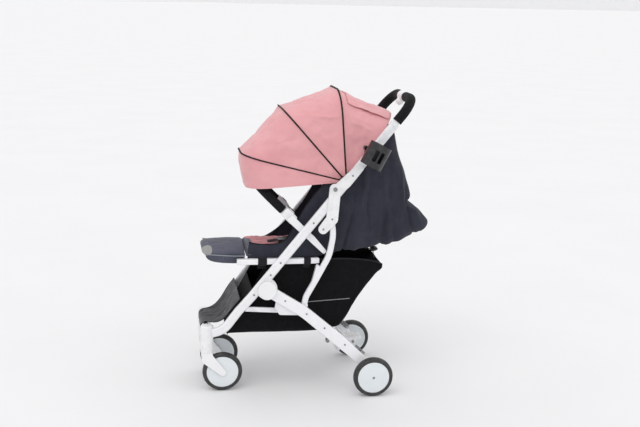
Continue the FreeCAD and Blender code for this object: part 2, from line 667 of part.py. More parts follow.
def build_seat():
    base = plate([(-254.0, 503.0), (20.0, 503.0), (20.0, 520.0), (-254.0, 520.0)],
                 -SEAT_HALF_WIDTH, SEAT_HALF_WIDTH, 6.0)
    save("seat_base", base)
    liner = plate([(-254.0, 520.4), (20.0, 520.4), (20.0, 529.0), (-254.0, 529.0)], -108.0, 108.0, 3.0)
    save("seat_liner", liner)
    buckle = plate([(-134.0, 529.4), (-92.0, 529.4), (-96.0, 543.0), (-130.0, 543.0)], -22.0, 22.0, 3.0)
    save("harness_buckle", buckle)
    radii = {0: 4.0, 1: 90.0, 2: 90.0, 3: 12.0, 4: 10.0, 5: 12.0, 6: 90.0, 7: 90.0, 8: 4.0}
    back = plate(
        [(46.0, 518.0), (225.0, 535.0), (323.0, 562.0), (390.0, 603.0), (403.0, 617.0), (384.0, 632.0),
         (300.0, 602.0), (200.0, 576.0), (46.0, 562.0)],
        -BACK_HALF_WIDTH, BACK_HALF_WIDTH, radii,
    )
    save("backrest", back)
    outer = [(51.0, 508.0), (103.0, 517.0), (225.0, 530.0), (324.0, 556.0), (400.0, 602.0), (414.0, 620.0),
             (388.0, 642.0), (346.0, 682.0), (336.0, 712.0), (314.0, 797.0), (290.0, 869.0), (272.0, 954.0),
             (258.0, 975.0)]
    inner = [(40.0, 509.4), (103.0, 519.6), (225.0, 532.6), (323.0, 558.6), (397.0, 603.6), (410.4, 619.6),
             (386.0, 639.0), (343.0, 681.0), (333.0, 712.0), (311.0, 797.0), (287.0, 869.0), (269.0, 954.0),
             (262.0, 990.0), (240.0, 990.0)]
    save("rear_curtain", max(shell(outer, inner, CURTAIN_HALF_WIDTH).Solids, key=lambda solid: solid.Volume))
    wing = plate([(-205.0, 506.0), (-195.0, 560.0), (-150.0, 600.0), (-8.0, 735.0), (44.0, 735.0), (28.0, 506.0)],
                 120.0, 122.5, 8.0)
    room = plate([on_arm(ARM_LENGTH - 26, -20), on_arm(ARM_LENGTH + 60, -20), on_arm(ARM_LENGTH + 60, 22),
                  on_arm(ARM_LENGTH - 26, 22)], 0.0, 200.0)
    wing = max(wing.cut(room).Solids, key=lambda solid: solid.Volume)
    save("side_wings", *both_sides(wing))


def crown(half_width, edge, top):
    """The room under an arch across the width, as long as the whole seat."""
    ends = [Vector(-500.0, side * (half_width + 1.0), edge) for side in (-1, 1)]
    arc = Part.Arc(ends[0], Vector(-500.0, 0.0, top), ends[1]).toShape()
    feet = [Vector(end.x, end.y, 400.0) for end in ends]
    walls = Part.makePolygon([ends[1], feet[1], feet[0], ends[0]])
    return Part.Face(Part.Wire([arc] + walls.Edges)).extrude(Vector(600.0, 0, 0))


def build_leg_rest():
    pad = plate(
        [(-262.0, 503.0), (-400.0, 503.0), (-415.0, 508.0), (-424.0, 520.0), (-418.0, 531.0), (-390.0, 541.0),
         (-262.0, 545.0)],
        -LEG_HALF_WIDTH, LEG_HALF_WIDTH, {0: 8.0, 1: 10.0, 2: 7.0, 3: 6.0, 4: 14.0, 5: 40.0, 6: 10.0},
    )
    save("leg_rest_pad", pad.common(crown(LEG_HALF_WIDTH, LEG_EDGE_Z, LEG_CROWN_Z)))
    knuckle = pin(LEG_HINGE, 9.0, -110.0, 110.0)
    board = plate([(-262.0, 495.0), (-385.0, 495.0), (-385.0, 502.6), (-262.0, 502.6)], -110.0, 110.0, 2.0)
    frame = knuckle.fuse(board).removeSplitter()
    save("leg_rest_board", frame.cut(pin(LEG_HINGE, LEG_ROD_RADIUS + RUNNING_FIT, -120.0, 120.0)))


def build_foot_panel_and_basket():
    route = [(-417.0, 216.0), (-418.0, 246.0), (-404.0, 255.0), (-370.0, 253.5), (-338.0, 272.0), (-306.0, 322.0),
             (-280.0, 354.0)]
    half_plan = [(-430.0, 78.0), (-395.0, 78.0), (-372.0, 96.0), (-340.0, 120.0), (-300.0, 138.0), (-260.0, 148.0)]
    plan = half_plan + [(x, -y) for x, y in reversed(half_plan)]
    room = Part.Face(Part.makePolygon([Vector(x, y, 200.0) for x, y in plan + plan[:1]]))
    save("foot_panel", band(route, 3.0, 160.0).common(room.extrude(Vector(0, 0, 300.0))))
    outer = [(-328.0, 214.0), (78.0, 214.0), (108.0, 252.0), (152.0, 334.0), (217.0, 426.0), (243.0, 447.0),
             (243.0, 462.0), (218.0, 480.0), (125.0, 495.0), (20.0, 496.0), (-190.0, 478.0)]
    inner = [(-324.0, 216.5), (77.0, 216.5), (105.5, 253.0), (149.5, 335.5), (214.5, 428.0), (240.5, 448.5),
             (240.5, 600.0), (-183.0, 600.0), (-187.0, 478.0)]
    basket = max(shell(outer, inner, SEAT_HALF_WIDTH - 1.0).Solids, key=lambda solid: solid.Volume)
    for node, start in (("basket", BASKET_SEAM - 600.0), ("basket_tail", BASKET_SEAM + 0.4)):
        room = Part.makeBox(600.0, 400.0, 500.0, Vector(start, -200.0, 100.0))
        save(node, max(basket.common(room).Solids, key=lambda solid: solid.Volume))


def arch_points(rib, inset, shift):
    """The corner points of a rib's arch, moved inwards and sideways to its plane."""
    angle, reach, half_width = rib
    along = Vector(math.cos(math.radians(angle)), 0, math.sin(math.radians(angle)))
    aside = Vector(-along.z, 0, along.x)
    origin = at(CANOPY_PIVOT, 0.0) + aside * shift
    width, top = half_width - inset, reach - inset
    return [
        origin + along * RIB_START - Y_AXIS * width,
        origin + along * top - Y_AXIS * width,
        origin + along * top + Y_AXIS * width,
        origin + along * RIB_START + Y_AXIS * width,
    ]


def arch_band(rib, shift):
    """The closed outline of a fabric arch beside a rib."""
    outside = arch_points(rib, 0.0, shift)
    inside = arch_points(rib, FABRIC, shift)
    radii = {1: RIB_CORNER, 2: RIB_CORNER, 5: RIB_CORNER - FABRIC, 6: RIB_CORNER - FABRIC}
    radii.update({0: 0.0, 3: 0.0, 4: 0.0, 7: 0.0})
    return rounded_path(outside + inside[::-1], radii, closed=True)


def canopy_panel(first, second, first_gap, second_gap):
    """A fabric panel stretched from one arch to the next, clear of the ribs."""
    return Part.makeLoft([arch_band(first, first_gap), arch_band(second, -second_gap)], True, True)


def canopy_rib(rib):
    """A rib rod with an eye on the canopy's pin at each end."""
    points = arch_points(rib, 0.0, 0.0)
    along = (points[1] - points[0]).normalize()
    points[0] = points[0] - along * 14.0
    points[3] = points[3] - along * 14.0
    rod = swept_rod(points, {1: RIB_CORNER, 2: RIB_CORNER}, RIB_RADIUS)
    half_width = rib[2]
    eye = pin(CANOPY_PIVOT, 12.5, half_width - RIB_RADIUS, half_width + RIB_RADIUS)
    hole = pin(CANOPY_PIVOT, CANOPY_PIN_RADIUS + RUNNING_FIT, -200.0, 200.0)
    return rod.fuse(both_sides(eye)).removeSplitter().cut(hole)


def build_canopy():
    clearance = RIB_RADIUS + 0.6
    save("canopy_rear_rib", canopy_rib(REAR_RIB))
    save("canopy_middle_rib", canopy_rib(MIDDLE_RIB))
    save("canopy_front_rib", canopy_rib(FRONT_RIB))
    save("canopy_rear_panel", canopy_panel(HANDLE_EDGE, REAR_RIB, 0.0, clearance))
    save("canopy_top_panel", canopy_panel(REAR_RIB, MIDDLE_RIB, clearance, clearance))
    save("canopy_front_panel", canopy_panel(MIDDLE_RIB, FRONT_RIB, clearance, clearance))
    save("canopy_visor", canopy_panel(FRONT_RIB, VISOR_EDGE, clearance, 0.0))


def main():
    os.makedirs("parts", exist_ok=True)
    build_rear_wheels()
    build_front_casters()
    build_chassis()
    build_push_bar()
    build_side_links()
    build_cup_holder()
    build_rear_legs()
    build_seat()
    build_leg_rest()
    build_foot_panel_and_basket()
    build_canopy()


main()
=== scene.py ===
import json
import math
import random

import bmesh
import bpy
import numpy as np
from mathutils import Matrix, Vector, noise


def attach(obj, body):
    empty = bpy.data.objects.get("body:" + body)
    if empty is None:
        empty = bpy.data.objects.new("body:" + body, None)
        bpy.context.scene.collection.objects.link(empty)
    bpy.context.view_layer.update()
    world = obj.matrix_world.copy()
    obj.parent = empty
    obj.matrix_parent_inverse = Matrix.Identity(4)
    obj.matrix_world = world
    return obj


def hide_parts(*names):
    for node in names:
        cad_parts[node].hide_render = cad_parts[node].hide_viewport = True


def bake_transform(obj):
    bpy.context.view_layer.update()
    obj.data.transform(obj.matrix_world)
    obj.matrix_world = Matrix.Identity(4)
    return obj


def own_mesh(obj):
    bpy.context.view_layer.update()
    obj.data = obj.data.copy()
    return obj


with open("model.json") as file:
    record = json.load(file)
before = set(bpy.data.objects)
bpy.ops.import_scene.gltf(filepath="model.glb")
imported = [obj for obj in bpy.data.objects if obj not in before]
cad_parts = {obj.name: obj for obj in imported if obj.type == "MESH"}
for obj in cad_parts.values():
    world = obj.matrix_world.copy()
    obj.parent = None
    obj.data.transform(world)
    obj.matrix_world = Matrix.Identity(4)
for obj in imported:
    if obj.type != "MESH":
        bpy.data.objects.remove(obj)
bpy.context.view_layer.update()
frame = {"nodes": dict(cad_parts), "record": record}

NODES = frame["nodes"]
SEED = 7

# ---------------------------------------------------------------- camera, light and floor
CAMERA_LENS = 55.83
CAMERA_AT = Vector((-0.560, -3.5477, 1.3995))
CAMERA_YAW, CAMERA_PITCH, CAMERA_ROLL = (math.radians(a) for a in (9.37, 12.01, 1.18))


def build_camera():
    forward = Vector((
        math.sin(CAMERA_YAW) * math.cos(CAMERA_PITCH),
        math.cos(CAMERA_YAW) * math.cos(CAMERA_PITCH),
        -math.sin(CAMERA_PITCH),
    ))
    level = Vector((math.cos(CAMERA_YAW), -math.sin(CAMERA_YAW), 0.0))
    upright = level.cross(forward)
    right = level * math.cos(CAMERA_ROLL) + upright * math.sin(CAMERA_ROLL)
    up = upright * math.cos(CAMERA_ROLL) - level * math.sin(CAMERA_ROLL)
    data = bpy.data.cameras.new("camera")
    data.sensor_width = 36.0
    data.lens = CAMERA_LENS
    camera = bpy.data.objects.new("camera", data)
    bpy.context.scene.collection.objects.link(camera)
    turn = Matrix((right, up, -forward)).transposed().to_4x4()
    camera.matrix_world = Matrix.Translation(CAMERA_AT) @ turn
    bpy.context.scene.camera = camera


def sun_light(name, from_direction, strength, spread, colour=(1.0, 1.0, 1.0)):
    data = bpy.data.lights.new(name, "SUN")
    data.energy = strength
    data.angle = math.radians(spread)
    data.color = colour
    lamp = bpy.data.objects.new(name, data)
    bpy.context.scene.collection.objects.link(lamp)
    lamp.matrix_world = Vector(from_direction).to_track_quat("Z", "Y").to_matrix().to_4x4()


def build_studio():
    sun_light("key", (-0.45, -0.75, 1.3), 0.80, 50.0, (1.0, 0.99, 0.97))
    sun_light("fill", (0.9, -0.8, 0.8), 0.25, 80.0, (0.97, 0.98, 1.0))
    sun_light("back", (0.3, 0.9, 1.2), 0.2, 80.0)
    world = bpy.data.worlds.new("studio")
    world.use_nodes = True
    background = world.node_tree.nodes["Background"]
    background.inputs["Color"].default_value = (0.985, 0.985, 1.0, 1.0)
    background.inputs["Strength"].default_value = 0.82
    bpy.context.scene.world = world
    mesh = bpy.data.meshes.new("floor")
    reach, wall = 600.0, 40.0
    corners = [(-reach, -reach, 0.0), (reach, -reach, 0.0), (reach, reach, 0.0), (-reach, reach, 0.0),
               (reach, reach, wall), (-reach, reach, wall)]
    mesh.from_pydata(corners, [], [(0, 1, 2, 3), (3, 2, 4, 5)])
    floor = bpy.data.objects.new("floor", mesh)
    bpy.context.scene.collection.objects.link(floor)
    paint = Shader("floor_paper", (0.83, 0.83, 0.835), 0.8, Specular_IOR_Level=0.1)
    paint.colour_noise((0.835, 0.835, 0.84), (0.82, 0.82, 0.825), 1.5)
    floor.data.materials.append(paint.material)
    bpy.context.scene.view_settings.view_transform = "Standard"


# ---------------------------------------------------------------- materials
class Shader:
    """A principled material that is built up node by node."""

    def __init__(self, name, colour, roughness, **sockets):
        self.material = bpy.data.materials.new(name)
        self.material.use_nodes = True
        self.tree = self.material.node_tree
        self.bsdf = self.tree.nodes["Principled BSDF"]
        self.bsdf.inputs["Base Color"].default_value = (*colour, 1.0)
        self.bsdf.inputs["Roughness"].default_value = roughness
        for socket, value in sockets.items():
            self.bsdf.inputs[socket.replace("_", " ")].default_value = value
        self.place = self.tree.nodes.new("ShaderNodeTexCoord").outputs["Object"]
        self.relief = None

    def node(self, kind, **settings):
        made = self.tree.nodes.new(kind)
        for key, value in settings.items():
            if key in made.inputs:
                made.inputs[key].default_value = value
            else:
                setattr(made, key, value)
        return made

    def link(self, source, target):
        self.tree.links.new(source, target)

    def stretched(self, scale):
        mapping = self.node("ShaderNodeMapping", Scale=scale)
        self.link(self.place, mapping.inputs["Vector"])
        return mapping.outputs["Vector"]

    def noise(self, scale, detail=4.0, rough=0.55, stretch=None):
        made = self.node("ShaderNodeTexNoise", Scale=scale, Detail=detail, Roughness=rough)
        self.link(self.stretched(stretch) if stretch else self.place, made.inputs["Vector"])
        return made.outputs["Fac"]

    def wave(self, axis, period, distortion=0.0):
        made = self.node(
            "ShaderNodeTexWave", bands_direction=axis, Scale=math.tau / (20.0 * period), Distortion=distortion,
            Detail=1.0,
        )
        self.link(self.place, made.inputs["Vector"])
        return made.outputs["Fac"]

    def math(self, operation, first, second=0.5):
        made = self.node("ShaderNodeMath", operation=operation)
        for socket, value in zip(made.inputs, (first, second)):
            if isinstance(value, (int, float)):
                socket.default_value = value
            else:
                self.link(value, socket)
        return made.outputs[0]

    def span(self, value, low, high, new_low=0.0, new_high=1.0):
        made = self.node("ShaderNodeMapRange")
        self.link(value, made.inputs["Value"])
        for socket, number in zip(("From Min", "From Max", "To Min", "To Max"), (low, high, new_low, new_high)):
            made.inputs[socket].default_value = number
        return made.outputs["Result"]

    def mix(self, factor, first, second):
        made = self.node("ShaderNodeMix", data_type="RGBA")
        self.link(factor, made.inputs["Factor"])
        for socket, value in ((made.inputs[6], first), (made.inputs[7], second)):
            if isinstance(value, tuple):
                socket.default_value = (*value, 1.0)
            else:
                self.link(value, socket)
        return made.outputs[2]

    def paint(self, colour):
        self.link(colour, self.bsdf.inputs["Base Color"])
        self.painted = colour

    def colour_noise(self, first, second, scale, detail=3.0, low=0.35, high=0.65, stretch=None):
        self.paint(self.mix(self.span(self.noise(scale, detail, stretch=stretch), low, high), first, second))

    def rough_noise(self, low, high, scale, detail=3.0):
        self.link(self.span(self.noise(scale, detail), 0.3, 0.7, low, high), self.bsdf.inputs["Roughness"])

    def bump(self, height, strength, depth):
        made = self.node("ShaderNodeBump", Strength=strength, Distance=depth)
        self.link(height, made.inputs["Height"])
        if self.relief:
            self.link(self.relief, made.inputs["Normal"])
        self.relief = made.outputs["Normal"]
        self.link(self.relief, self.bsdf.inputs["Normal"])

    def weave(self, period, strength, depth):
        """Threads that cross in any plane, with slubs."""
        waves = [self.wave(axis, period, 0.6) for axis in "XYZ"]
        height = self.math("MULTIPLY", self.math("ADD", waves[0], waves[1]), self.math("ADD", waves[2], 0.35))
        self.bump(height, strength, depth)
        return height

    def worn_edges(self, colour):
        geometry = self.node("ShaderNodeNewGeometry")
        edge = self.span(geometry.outputs["Pointiness"], 0.53, 0.62)
        patchy = self.math("MULTIPLY", edge, self.span(self.noise(55.0, 5.0), 0.4, 0.62))
        self.paint(self.mix(patchy, self.painted, colour))


def cloth_material(name, light, dark, period=0.0014, sheen=0.25, crease=0.0012, stretch=(1.0, 1.0, 1.0), tint=14.0):
    cloth = Shader(name, light, 0.85, Sheen_Weight=sheen, Sheen_Roughness=0.45, Specular_IOR_Level=0.28)
    cloth.colour_noise(light, dark, tint, 4.0, 0.3, 0.7, stretch)
    threads = cloth.math("MULTIPLY", cloth.wave("X", period, 0.5), cloth.wave("Z", period, 0.5))
    shade = cloth.span(threads, 0.0, 1.0, 0.0, 0.35)
    cloth.paint(cloth.mix(shade, cloth.painted, dark))
    cloth.rough_noise(0.72, 0.92, 40.0)
    cloth.bump(cloth.noise(26.0, 5.0, 0.6, stretch), 0.5, crease)
    cloth.weave(period, 0.35, 0.0003)
    return cloth


def plastic_material(name, light, dark, roughness, grain, coat=0.0, worn=None):
    plastic = Shader(name, light, roughness, Coat_Weight=coat, Coat_Roughness=0.12)
    plastic.colour_noise(light, dark, 9.0)
    if worn:
        plastic.worn_edges(worn)
    plastic.rough_noise(roughness - 0.06, roughness + 0.08, 30.0)
    plastic.bump(plastic.noise(900.0, 3.0), grain, 0.0002)
    plastic.bump(plastic.noise(35.0, 2.0), 0.06, 0.001)
    return plastic


def mesh_cloth_material(name, light, dark, period):
    """A knitted mesh: round holes between thick yarns."""
    cloth = Shader(name, light, 0.8, Sheen_Weight=0.03, Sheen_Roughness=0.5, Specular_IOR_Level=0.12)
    holes = cloth.node("ShaderNodeTexVoronoi", Scale=1.0 / period, feature="F1")
    cloth.link(cloth.place, holes.inputs["Vector"])
    yarn = cloth.span(holes.outputs["Distance"], 0.15, 0.45)
    cloth.paint(cloth.mix(yarn, dark, light))
    cloth.bump(cloth.noise(18.0, 4.0), 0.35, 0.003)
    cloth.bump(yarn, 0.5, 0.0006)
    cloth.rough_noise(0.7, 0.9, 50.0)
    return cloth


def build_materials():
    made = {
        "white_paint": plastic_material(
            "white_paint", (0.86, 0.865, 0.88), (0.82, 0.825, 0.845), 0.24, 0.05, 0.6, (0.70, 0.71, 0.73)),
        "white_plastic": plastic_material(
            "white_plastic", (0.87, 0.87, 0.875), (0.83, 0.835, 0.845), 0.38, 0.12, 0.15, (0.74, 0.74, 0.75)),
        "black_plastic": plastic_material(
            "black_plastic", (0.007, 0.007, 0.008), (0.013, 0.013, 0.015), 0.34, 0.3, 0.05, (0.03, 0.03, 0.033)),
        "rim": plastic_material("rim", (0.76, 0.80, 0.82), (0.72, 0.765, 0.79), 0.34, 0.1, 0.2, (0.84, 0.86, 0.87)),
        "piping": cloth_material("piping", (0.006, 0.005, 0.006), (0.014, 0.012, 0.013), 0.001, 0.05),
        "webbing": cloth_material("webbing", (0.008, 0.008, 0.009), (0.018, 0.018, 0.020), 0.0012, 0.06),
        "pink_fabric": cloth_material(
            "pink_fabric", (0.80, 0.405, 0.42), (0.72, 0.335, 0.355), 0.0013, 0.35, 0.0016, (1.0, 0.6, 1.5), 9.0),
        "pink_lining": cloth_material("pink_lining", (0.66, 0.25, 0.27), (0.52, 0.18, 0.20), 0.0013, 0.3, 0.002),
        "navy_fabric": cloth_material(
            "navy_fabric", (0.034, 0.036, 0.052), (0.020, 0.021, 0.033), 0.0013, 0.12, 0.0016, (1.2, 1.0, 0.6)),
        "dark_fabric": cloth_material("dark_fabric", (0.012, 0.012, 0.016), (0.006, 0.006, 0.009), 0.0013, 0.06),
        "black_mesh": mesh_cloth_material("black_mesh", (0.005, 0.005, 0.006), (0.001, 0.001, 0.001), 0.0022),
        "black_foam": foam_material(),
        "tyre": tyre_material(),
        "steel": steel_material(),
        "slate_fabric": slate_material(),
        "foot_fabric": foot_material(),
        "thread": cloth_material("thread", (0.32, 0.33, 0.37), (0.24, 0.25, 0.28), 0.0008),
        # grey_trim colours only the basket seam strips: its grey is a painted highlight along the seam.
        "grey_trim": cloth_material("grey_trim", (0.30, 0.30, 0.31), (0.22, 0.22, 0.23), 0.0009),
    }
    return made


def foam_material():
    foam = Shader("black_foam", (0.012, 0.012, 0.014), 0.88, Sheen_Weight=0.03, Sheen_Roughness=0.6,
                  Specular_IOR_Level=0.18)
    foam.colour_noise((0.004, 0.004, 0.005), (0.010, 0.010, 0.011), 160.0, 5.0)
    pores = foam.node("ShaderNodeTexVoronoi", Scale=700.0, feature="F1")
    foam.link(foam.place, pores.inputs["Vector"])
    foam.bump(pores.outputs["Distance"], 0.6, 0.0004)
    foam.bump(foam.noise(60.0, 4.0), 0.2, 0.0012)
    foam.rough_noise(0.8, 0.95, 90.0)
    return foam


def tyre_material():
    rubber = Shader("tyre", (0.018, 0.018, 0.018), 0.5, Specular_IOR_Level=0.55)
    rubber.colour_noise((0.014, 0.014, 0.014), (0.04, 0.04, 0.04), 45.0, 6.0)
    grooves = rubber.span(rubber.wave("Y", 0.0055), 0.05, 0.3)
    rubber.bump(grooves, 0.45, 0.0009)
    rubber.bump(rubber.noise(500.0, 3.0), 0.25, 0.0003)
    rubber.rough_noise(0.42, 0.66, 60.0)
    return rubber


def steel_material():
    steel = Shader("steel", (0.24, 0.24, 0.25), 0.35, Metallic=0.85)
    steel.colour_noise((0.20, 0.20, 0.21), (0.34, 0.34, 0.35), 120.0, 5.0)
    steel.rough_noise(0.28, 0.5, 200.0)
    steel.bump(steel.noise(400.0, 3.0, stretch=(1.0, 6.0, 1.0)), 0.15, 0.0002)
    return steel


def slate_material():
    """A mottled slate weave with a pale rounded patch on the front corners."""
    cloth = Shader("slate_fabric", (0.085, 0.09, 0.125), 0.85, Sheen_Weight=0.2, Sheen_Roughness=0.4,
                   Specular_IOR_Level=0.28)
    cloth.colour_noise((0.070, 0.075, 0.105), (0.115, 0.12, 0.16), 420.0, 4.0, 0.35, 0.65, (1.0, 1.0, 0.25))
    soft = cloth.mix(cloth.span(cloth.noise(10.0, 3.0), 0.35, 0.65), cloth.painted, (0.06, 0.064, 0.09))
    spot = cloth.node("ShaderNodeSeparateXYZ")
    cloth.link(cloth.place, spot.inputs["Vector"])
    across = cloth.math("DIVIDE", cloth.math("ADD", spot.outputs["X"], 0.400), 0.0225)
    sideways = cloth.math("ABSOLUTE", spot.outputs["Y"])
    upward = cloth.math("DIVIDE", cloth.math("SUBTRACT", sideways, 0.086), 0.036)
    squares = cloth.math("ADD", cloth.math("POWER", cloth.math("ABSOLUTE", across), 2.6),
                         cloth.math("POWER", cloth.math("ABSOLUTE", upward), 2.6))
    outside = cloth.math("GREATER_THAN", spot.outputs["Z"], 0.5135)
    patch = cloth.math("MULTIPLY", cloth.span(squares, 1.06, 0.94), outside)
    grain = cloth.mix(cloth.noise(300.0, 3.0), (0.27, 0.265, 0.26), (0.36, 0.355, 0.35))
    cloth.paint(cloth.mix(patch, soft, grain))
    cloth.bump(patch, 0.4, 0.0012)
    cloth.bump(cloth.noise(24.0, 4.0), 0.4, 0.0018)
    cloth.weave(0.0015, 0.4, 0.0003)
    cloth.rough_noise(0.72, 0.9, 60.0)
    return cloth


def foot_material():
    cloth = Shader("foot_fabric", (0.02, 0.02, 0.023), 0.36, Sheen_Weight=0.02, Specular_IOR_Level=0.35)
    cloth.colour_noise((0.012, 0.012, 0.014), (0.032, 0.032, 0.036), 16.0, 4.0, 0.35, 0.65, (2.4, 0.5, 0.5))
    cloth.bump(cloth.noise(20.0, 5.0, 0.6, (2.4, 0.5, 0.5)), 0.8, 0.005)
    cloth.weave(0.0012, 0.3, 0.0003)
    cloth.rough_noise(0.34, 0.6, 26.0)
    return cloth


def dress_nodes():
    """Gives every CAD node that stays in view its finish."""
    slots = {row["node"]: row["material_slot"] for row in frame["record"]["subparts"]}
    for name, piece in NODES.items():
        finish = "piping" if name.startswith("canopy_") and name.endswith("_rib") else slots[name]
        shader = MATERIALS.get(finish, MATERIALS["white_plastic"])
        piece.data.materials.clear()
        piece.data.materials.append(shader.material)


# ---------------------------------------------------------------- mesh helpers
def add_piece(name, mesh, material, smooth=True):
    piece = bpy.data.objects.new(name, mesh)
    bpy.context.scene.collection.objects.link(piece)
    mesh.materials.clear()
    mesh.materials.append(MATERIALS[material].material)
    for face in mesh.polygons:
        face.use_smooth = smooth
    return piece


def carried(piece, body):
    """Gives a piece the body that it rides on."""
    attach(piece, body)


def grid_mesh(name, points, closed=False):
    """A quad sheet through rows of points; closed joins the last row to the first."""
    rows, columns = points.shape[:2]
    faces = []
    for i in range(rows if closed else rows - 1):
        below, above = i * columns, ((i + 1) % rows) * columns
        faces += [(below + j, below + j + 1, above + j + 1, above + j) for j in range(columns - 1)]
    mesh = bpy.data.meshes.new(name)
    mesh.from_pydata(points.reshape(-1, 3).tolist(), [], faces)
    mesh.update()
    return mesh


def applied(piece):
    """Fixes the piece's modifiers into its mesh."""
    bpy.context.view_layer.update()
    graph = bpy.context.evaluated_depsgraph_get()
    mesh = bpy.data.meshes.new_from_object(piece.evaluated_get(graph))
    piece.modifiers.clear()
    piece.data = mesh
    for face in mesh.polygons:
        face.use_smooth = True
    return piece


def modified(piece, kind, **settings):
    change = piece.modifiers.new(kind.lower(), kind)
    for key, value in settings.items():
        setattr(change, key, value)
    return piece


def thickened(piece, thickness, offset=-1.0):
    return applied(modified(piece, "SOLIDIFY", thickness=thickness, offset=offset, use_even_offset=False))


def grid_normals(points):
    along = np.gradient(points, axis=0)
    across = np.gradient(points, axis=1)
    normals = np.cross(along, across)
    return normals / np.maximum(np.linalg.norm(normals, axis=2, keepdims=True), 1e-9)


def outward_normals(points, centre):
    """A grid's normals, turned away from a point inside it."""
    normals = grid_normals(points)
    side = np.sign(np.sum(normals * (points - centre), axis=2, keepdims=True))
    return normals * np.where(side == 0, 1.0, side)


def edge_fade(columns, width):
    """Weights that rise from 0 at both ends of a row to 1."""
    steps = np.arange(columns)
    return np.minimum(1.0, np.minimum(steps, columns - 1 - steps) / width)


def cloth_area(piece):
    """One side of a thickened sheet, in square metres."""
    return float(sum(face.area for face in piece.data.polygons)) / 2


def smooth_noise(points, scale, seed, stretch=(1.0, 1.0, 1.0)):
    flat = points.reshape(-1, 3) * np.array(stretch) * scale + seed * 3.7
    values = [noise.noise(Vector(p)) for p in flat]
    return np.array(values).reshape(points.shape[:2])


def resampled(route, count):
    """Evenly spaced points along a bent line."""
    route = np.asarray(route, float)
    steps = np.linalg.norm(np.diff(route, axis=0), axis=1)
    travelled = np.concatenate([[0.0], np.cumsum(steps)])
    wanted = np.linspace(0.0, travelled[-1], count)
    return np.stack([np.interp(wanted, travelled, route[:, k]) for k in range(route.shape[1])], axis=1)


def wrapped_sheet(starts, stops, half, radius, arc_points, half_columns):
    """A sheet from one side's edge round a soft corner, across, and back along the other side."""
    sheet = []
    for start, stop in zip(starts, stops):
        gap = stop - start
        length = float(np.linalg.norm(gap))
        toward = gap / max(length, 1e-9)
        corner = min(radius, length * 0.5)
        side = [(0.0, half)] + [(length - corner + corner * math.sin(t), half - corner * (1 - math.cos(t)))
                                for t in np.linspace(0.0, math.pi / 2, arc_points)] + [(length, 0.0)]
        line = resampled(side, half_columns)
        sheet.append([(start[0] + toward[0] * d, y, start[1] + toward[1] * d) for d, y in line])
    right = np.array(sheet)
    left = right[:, ::-1] * np.array([1.0, -1.0, 1.0])
    return np.concatenate([right, left[:, 1:]], axis=1)


def softened_route(route, passes=3):
    """Rounds a bent line's corners, with its ends kept."""
    route = np.asarray(route, float)
    for _ in range(passes):
        first, last = route[:1], route[-1:]
        low = route[:-1] * 0.75 + route[1:] * 0.25
        high = route[:-1] * 0.25 + route[1:] * 0.75
        middle = np.stack([low, high], axis=1).reshape(-1, route.shape[1])
        route = np.concatenate([first, middle, last])
    return route


def tube(name, route, radius, material, sides=10, closed=False):
    """A thin round trim along a line of points."""
    curve = bpy.data.curves.new(name, "CURVE")
    curve.dimensions = "3D"
    curve.bevel_depth = radius
    curve.bevel_resolution = sides // 4
    curve.use_fill_caps = True
    line = curve.splines.new("POLY")
    line.points.add(len(route) - 1)
    for point, place in zip(line.points, route):
        point.co = (*place, 1.0)
    line.use_cyclic_u = closed
    piece = bpy.data.objects.new(name, curve)
    bpy.context.scene.collection.objects.link(piece)
    bpy.context.view_layer.update()
    graph = bpy.context.evaluated_depsgraph_get()
    mesh = bpy.data.meshes.new_from_object(piece.evaluated_get(graph))
    bpy.data.objects.remove(piece)
    return add_piece(name, mesh, material)


def strap(name, route, width, thickness, across, material="webbing"):
    """Flat webbing along a line of points, with its width along one direction."""
    route = np.asarray(route, float)
    across = np.array(across, float) / np.linalg.norm(across)
    along = np.gradient(route, axis=0)
    up = np.cross(along, across)
    up /= np.maximum(np.linalg.norm(up, axis=1, keepdims=True), 1e-9)
    half, deep = width / 2, thickness / 2
    ring = [(-half, -deep), (-half, deep), (-half * 0.5, deep * 1.1), (half * 0.5, deep * 1.1),
            (half, deep), (half, -deep), (half * 0.5, -deep * 1.1), (-half * 0.5, -deep * 1.1)]
    ring.append(ring[0])
    points = np.stack([route + across * a + up * b for a, b in ring], axis=1)
    mesh = grid_mesh(name, points)
    work = bmesh.new()
    work.from_mesh(mesh)
    bmesh.ops.remove_doubles(work, verts=work.verts, dist=1e-6)
    bmesh.ops.holes_fill(work, edges=[edge for edge in work.edges if edge.is_boundary])
    bmesh.ops.recalc_face_normals(work, faces=work.faces)
    work.to_mesh(mesh)
    work.free()
    piece = add_piece(name, mesh, material)
    return piece


def loft_solid(name, rings, material):
    """A closed soft form through rings of points, capped at both ends."""
    rings = np.asarray(rings, float)
    count, size = rings.shape[:2]
    mesh = bpy.data.meshes.new(name)
    faces = []
    for i in range(count - 1):
        for j in range(size):
            k = (j + 1) % size
            faces.append((i * size + j, i * size + k, (i + 1) * size + k, (i + 1) * size + j))
    faces.append(tuple(range(size))[::-1])
    faces.append(tuple(range((count - 1) * size, count * size)))
    mesh.from_pydata(rings.reshape(-1, 3).tolist(), [], faces)
    work = bmesh.new()
    work.from_mesh(mesh)
    bmesh.ops.recalc_face_normals(work, faces=work.faces)
    work.to_mesh(mesh)
    work.free()
    return add_piece(name, mesh, material)


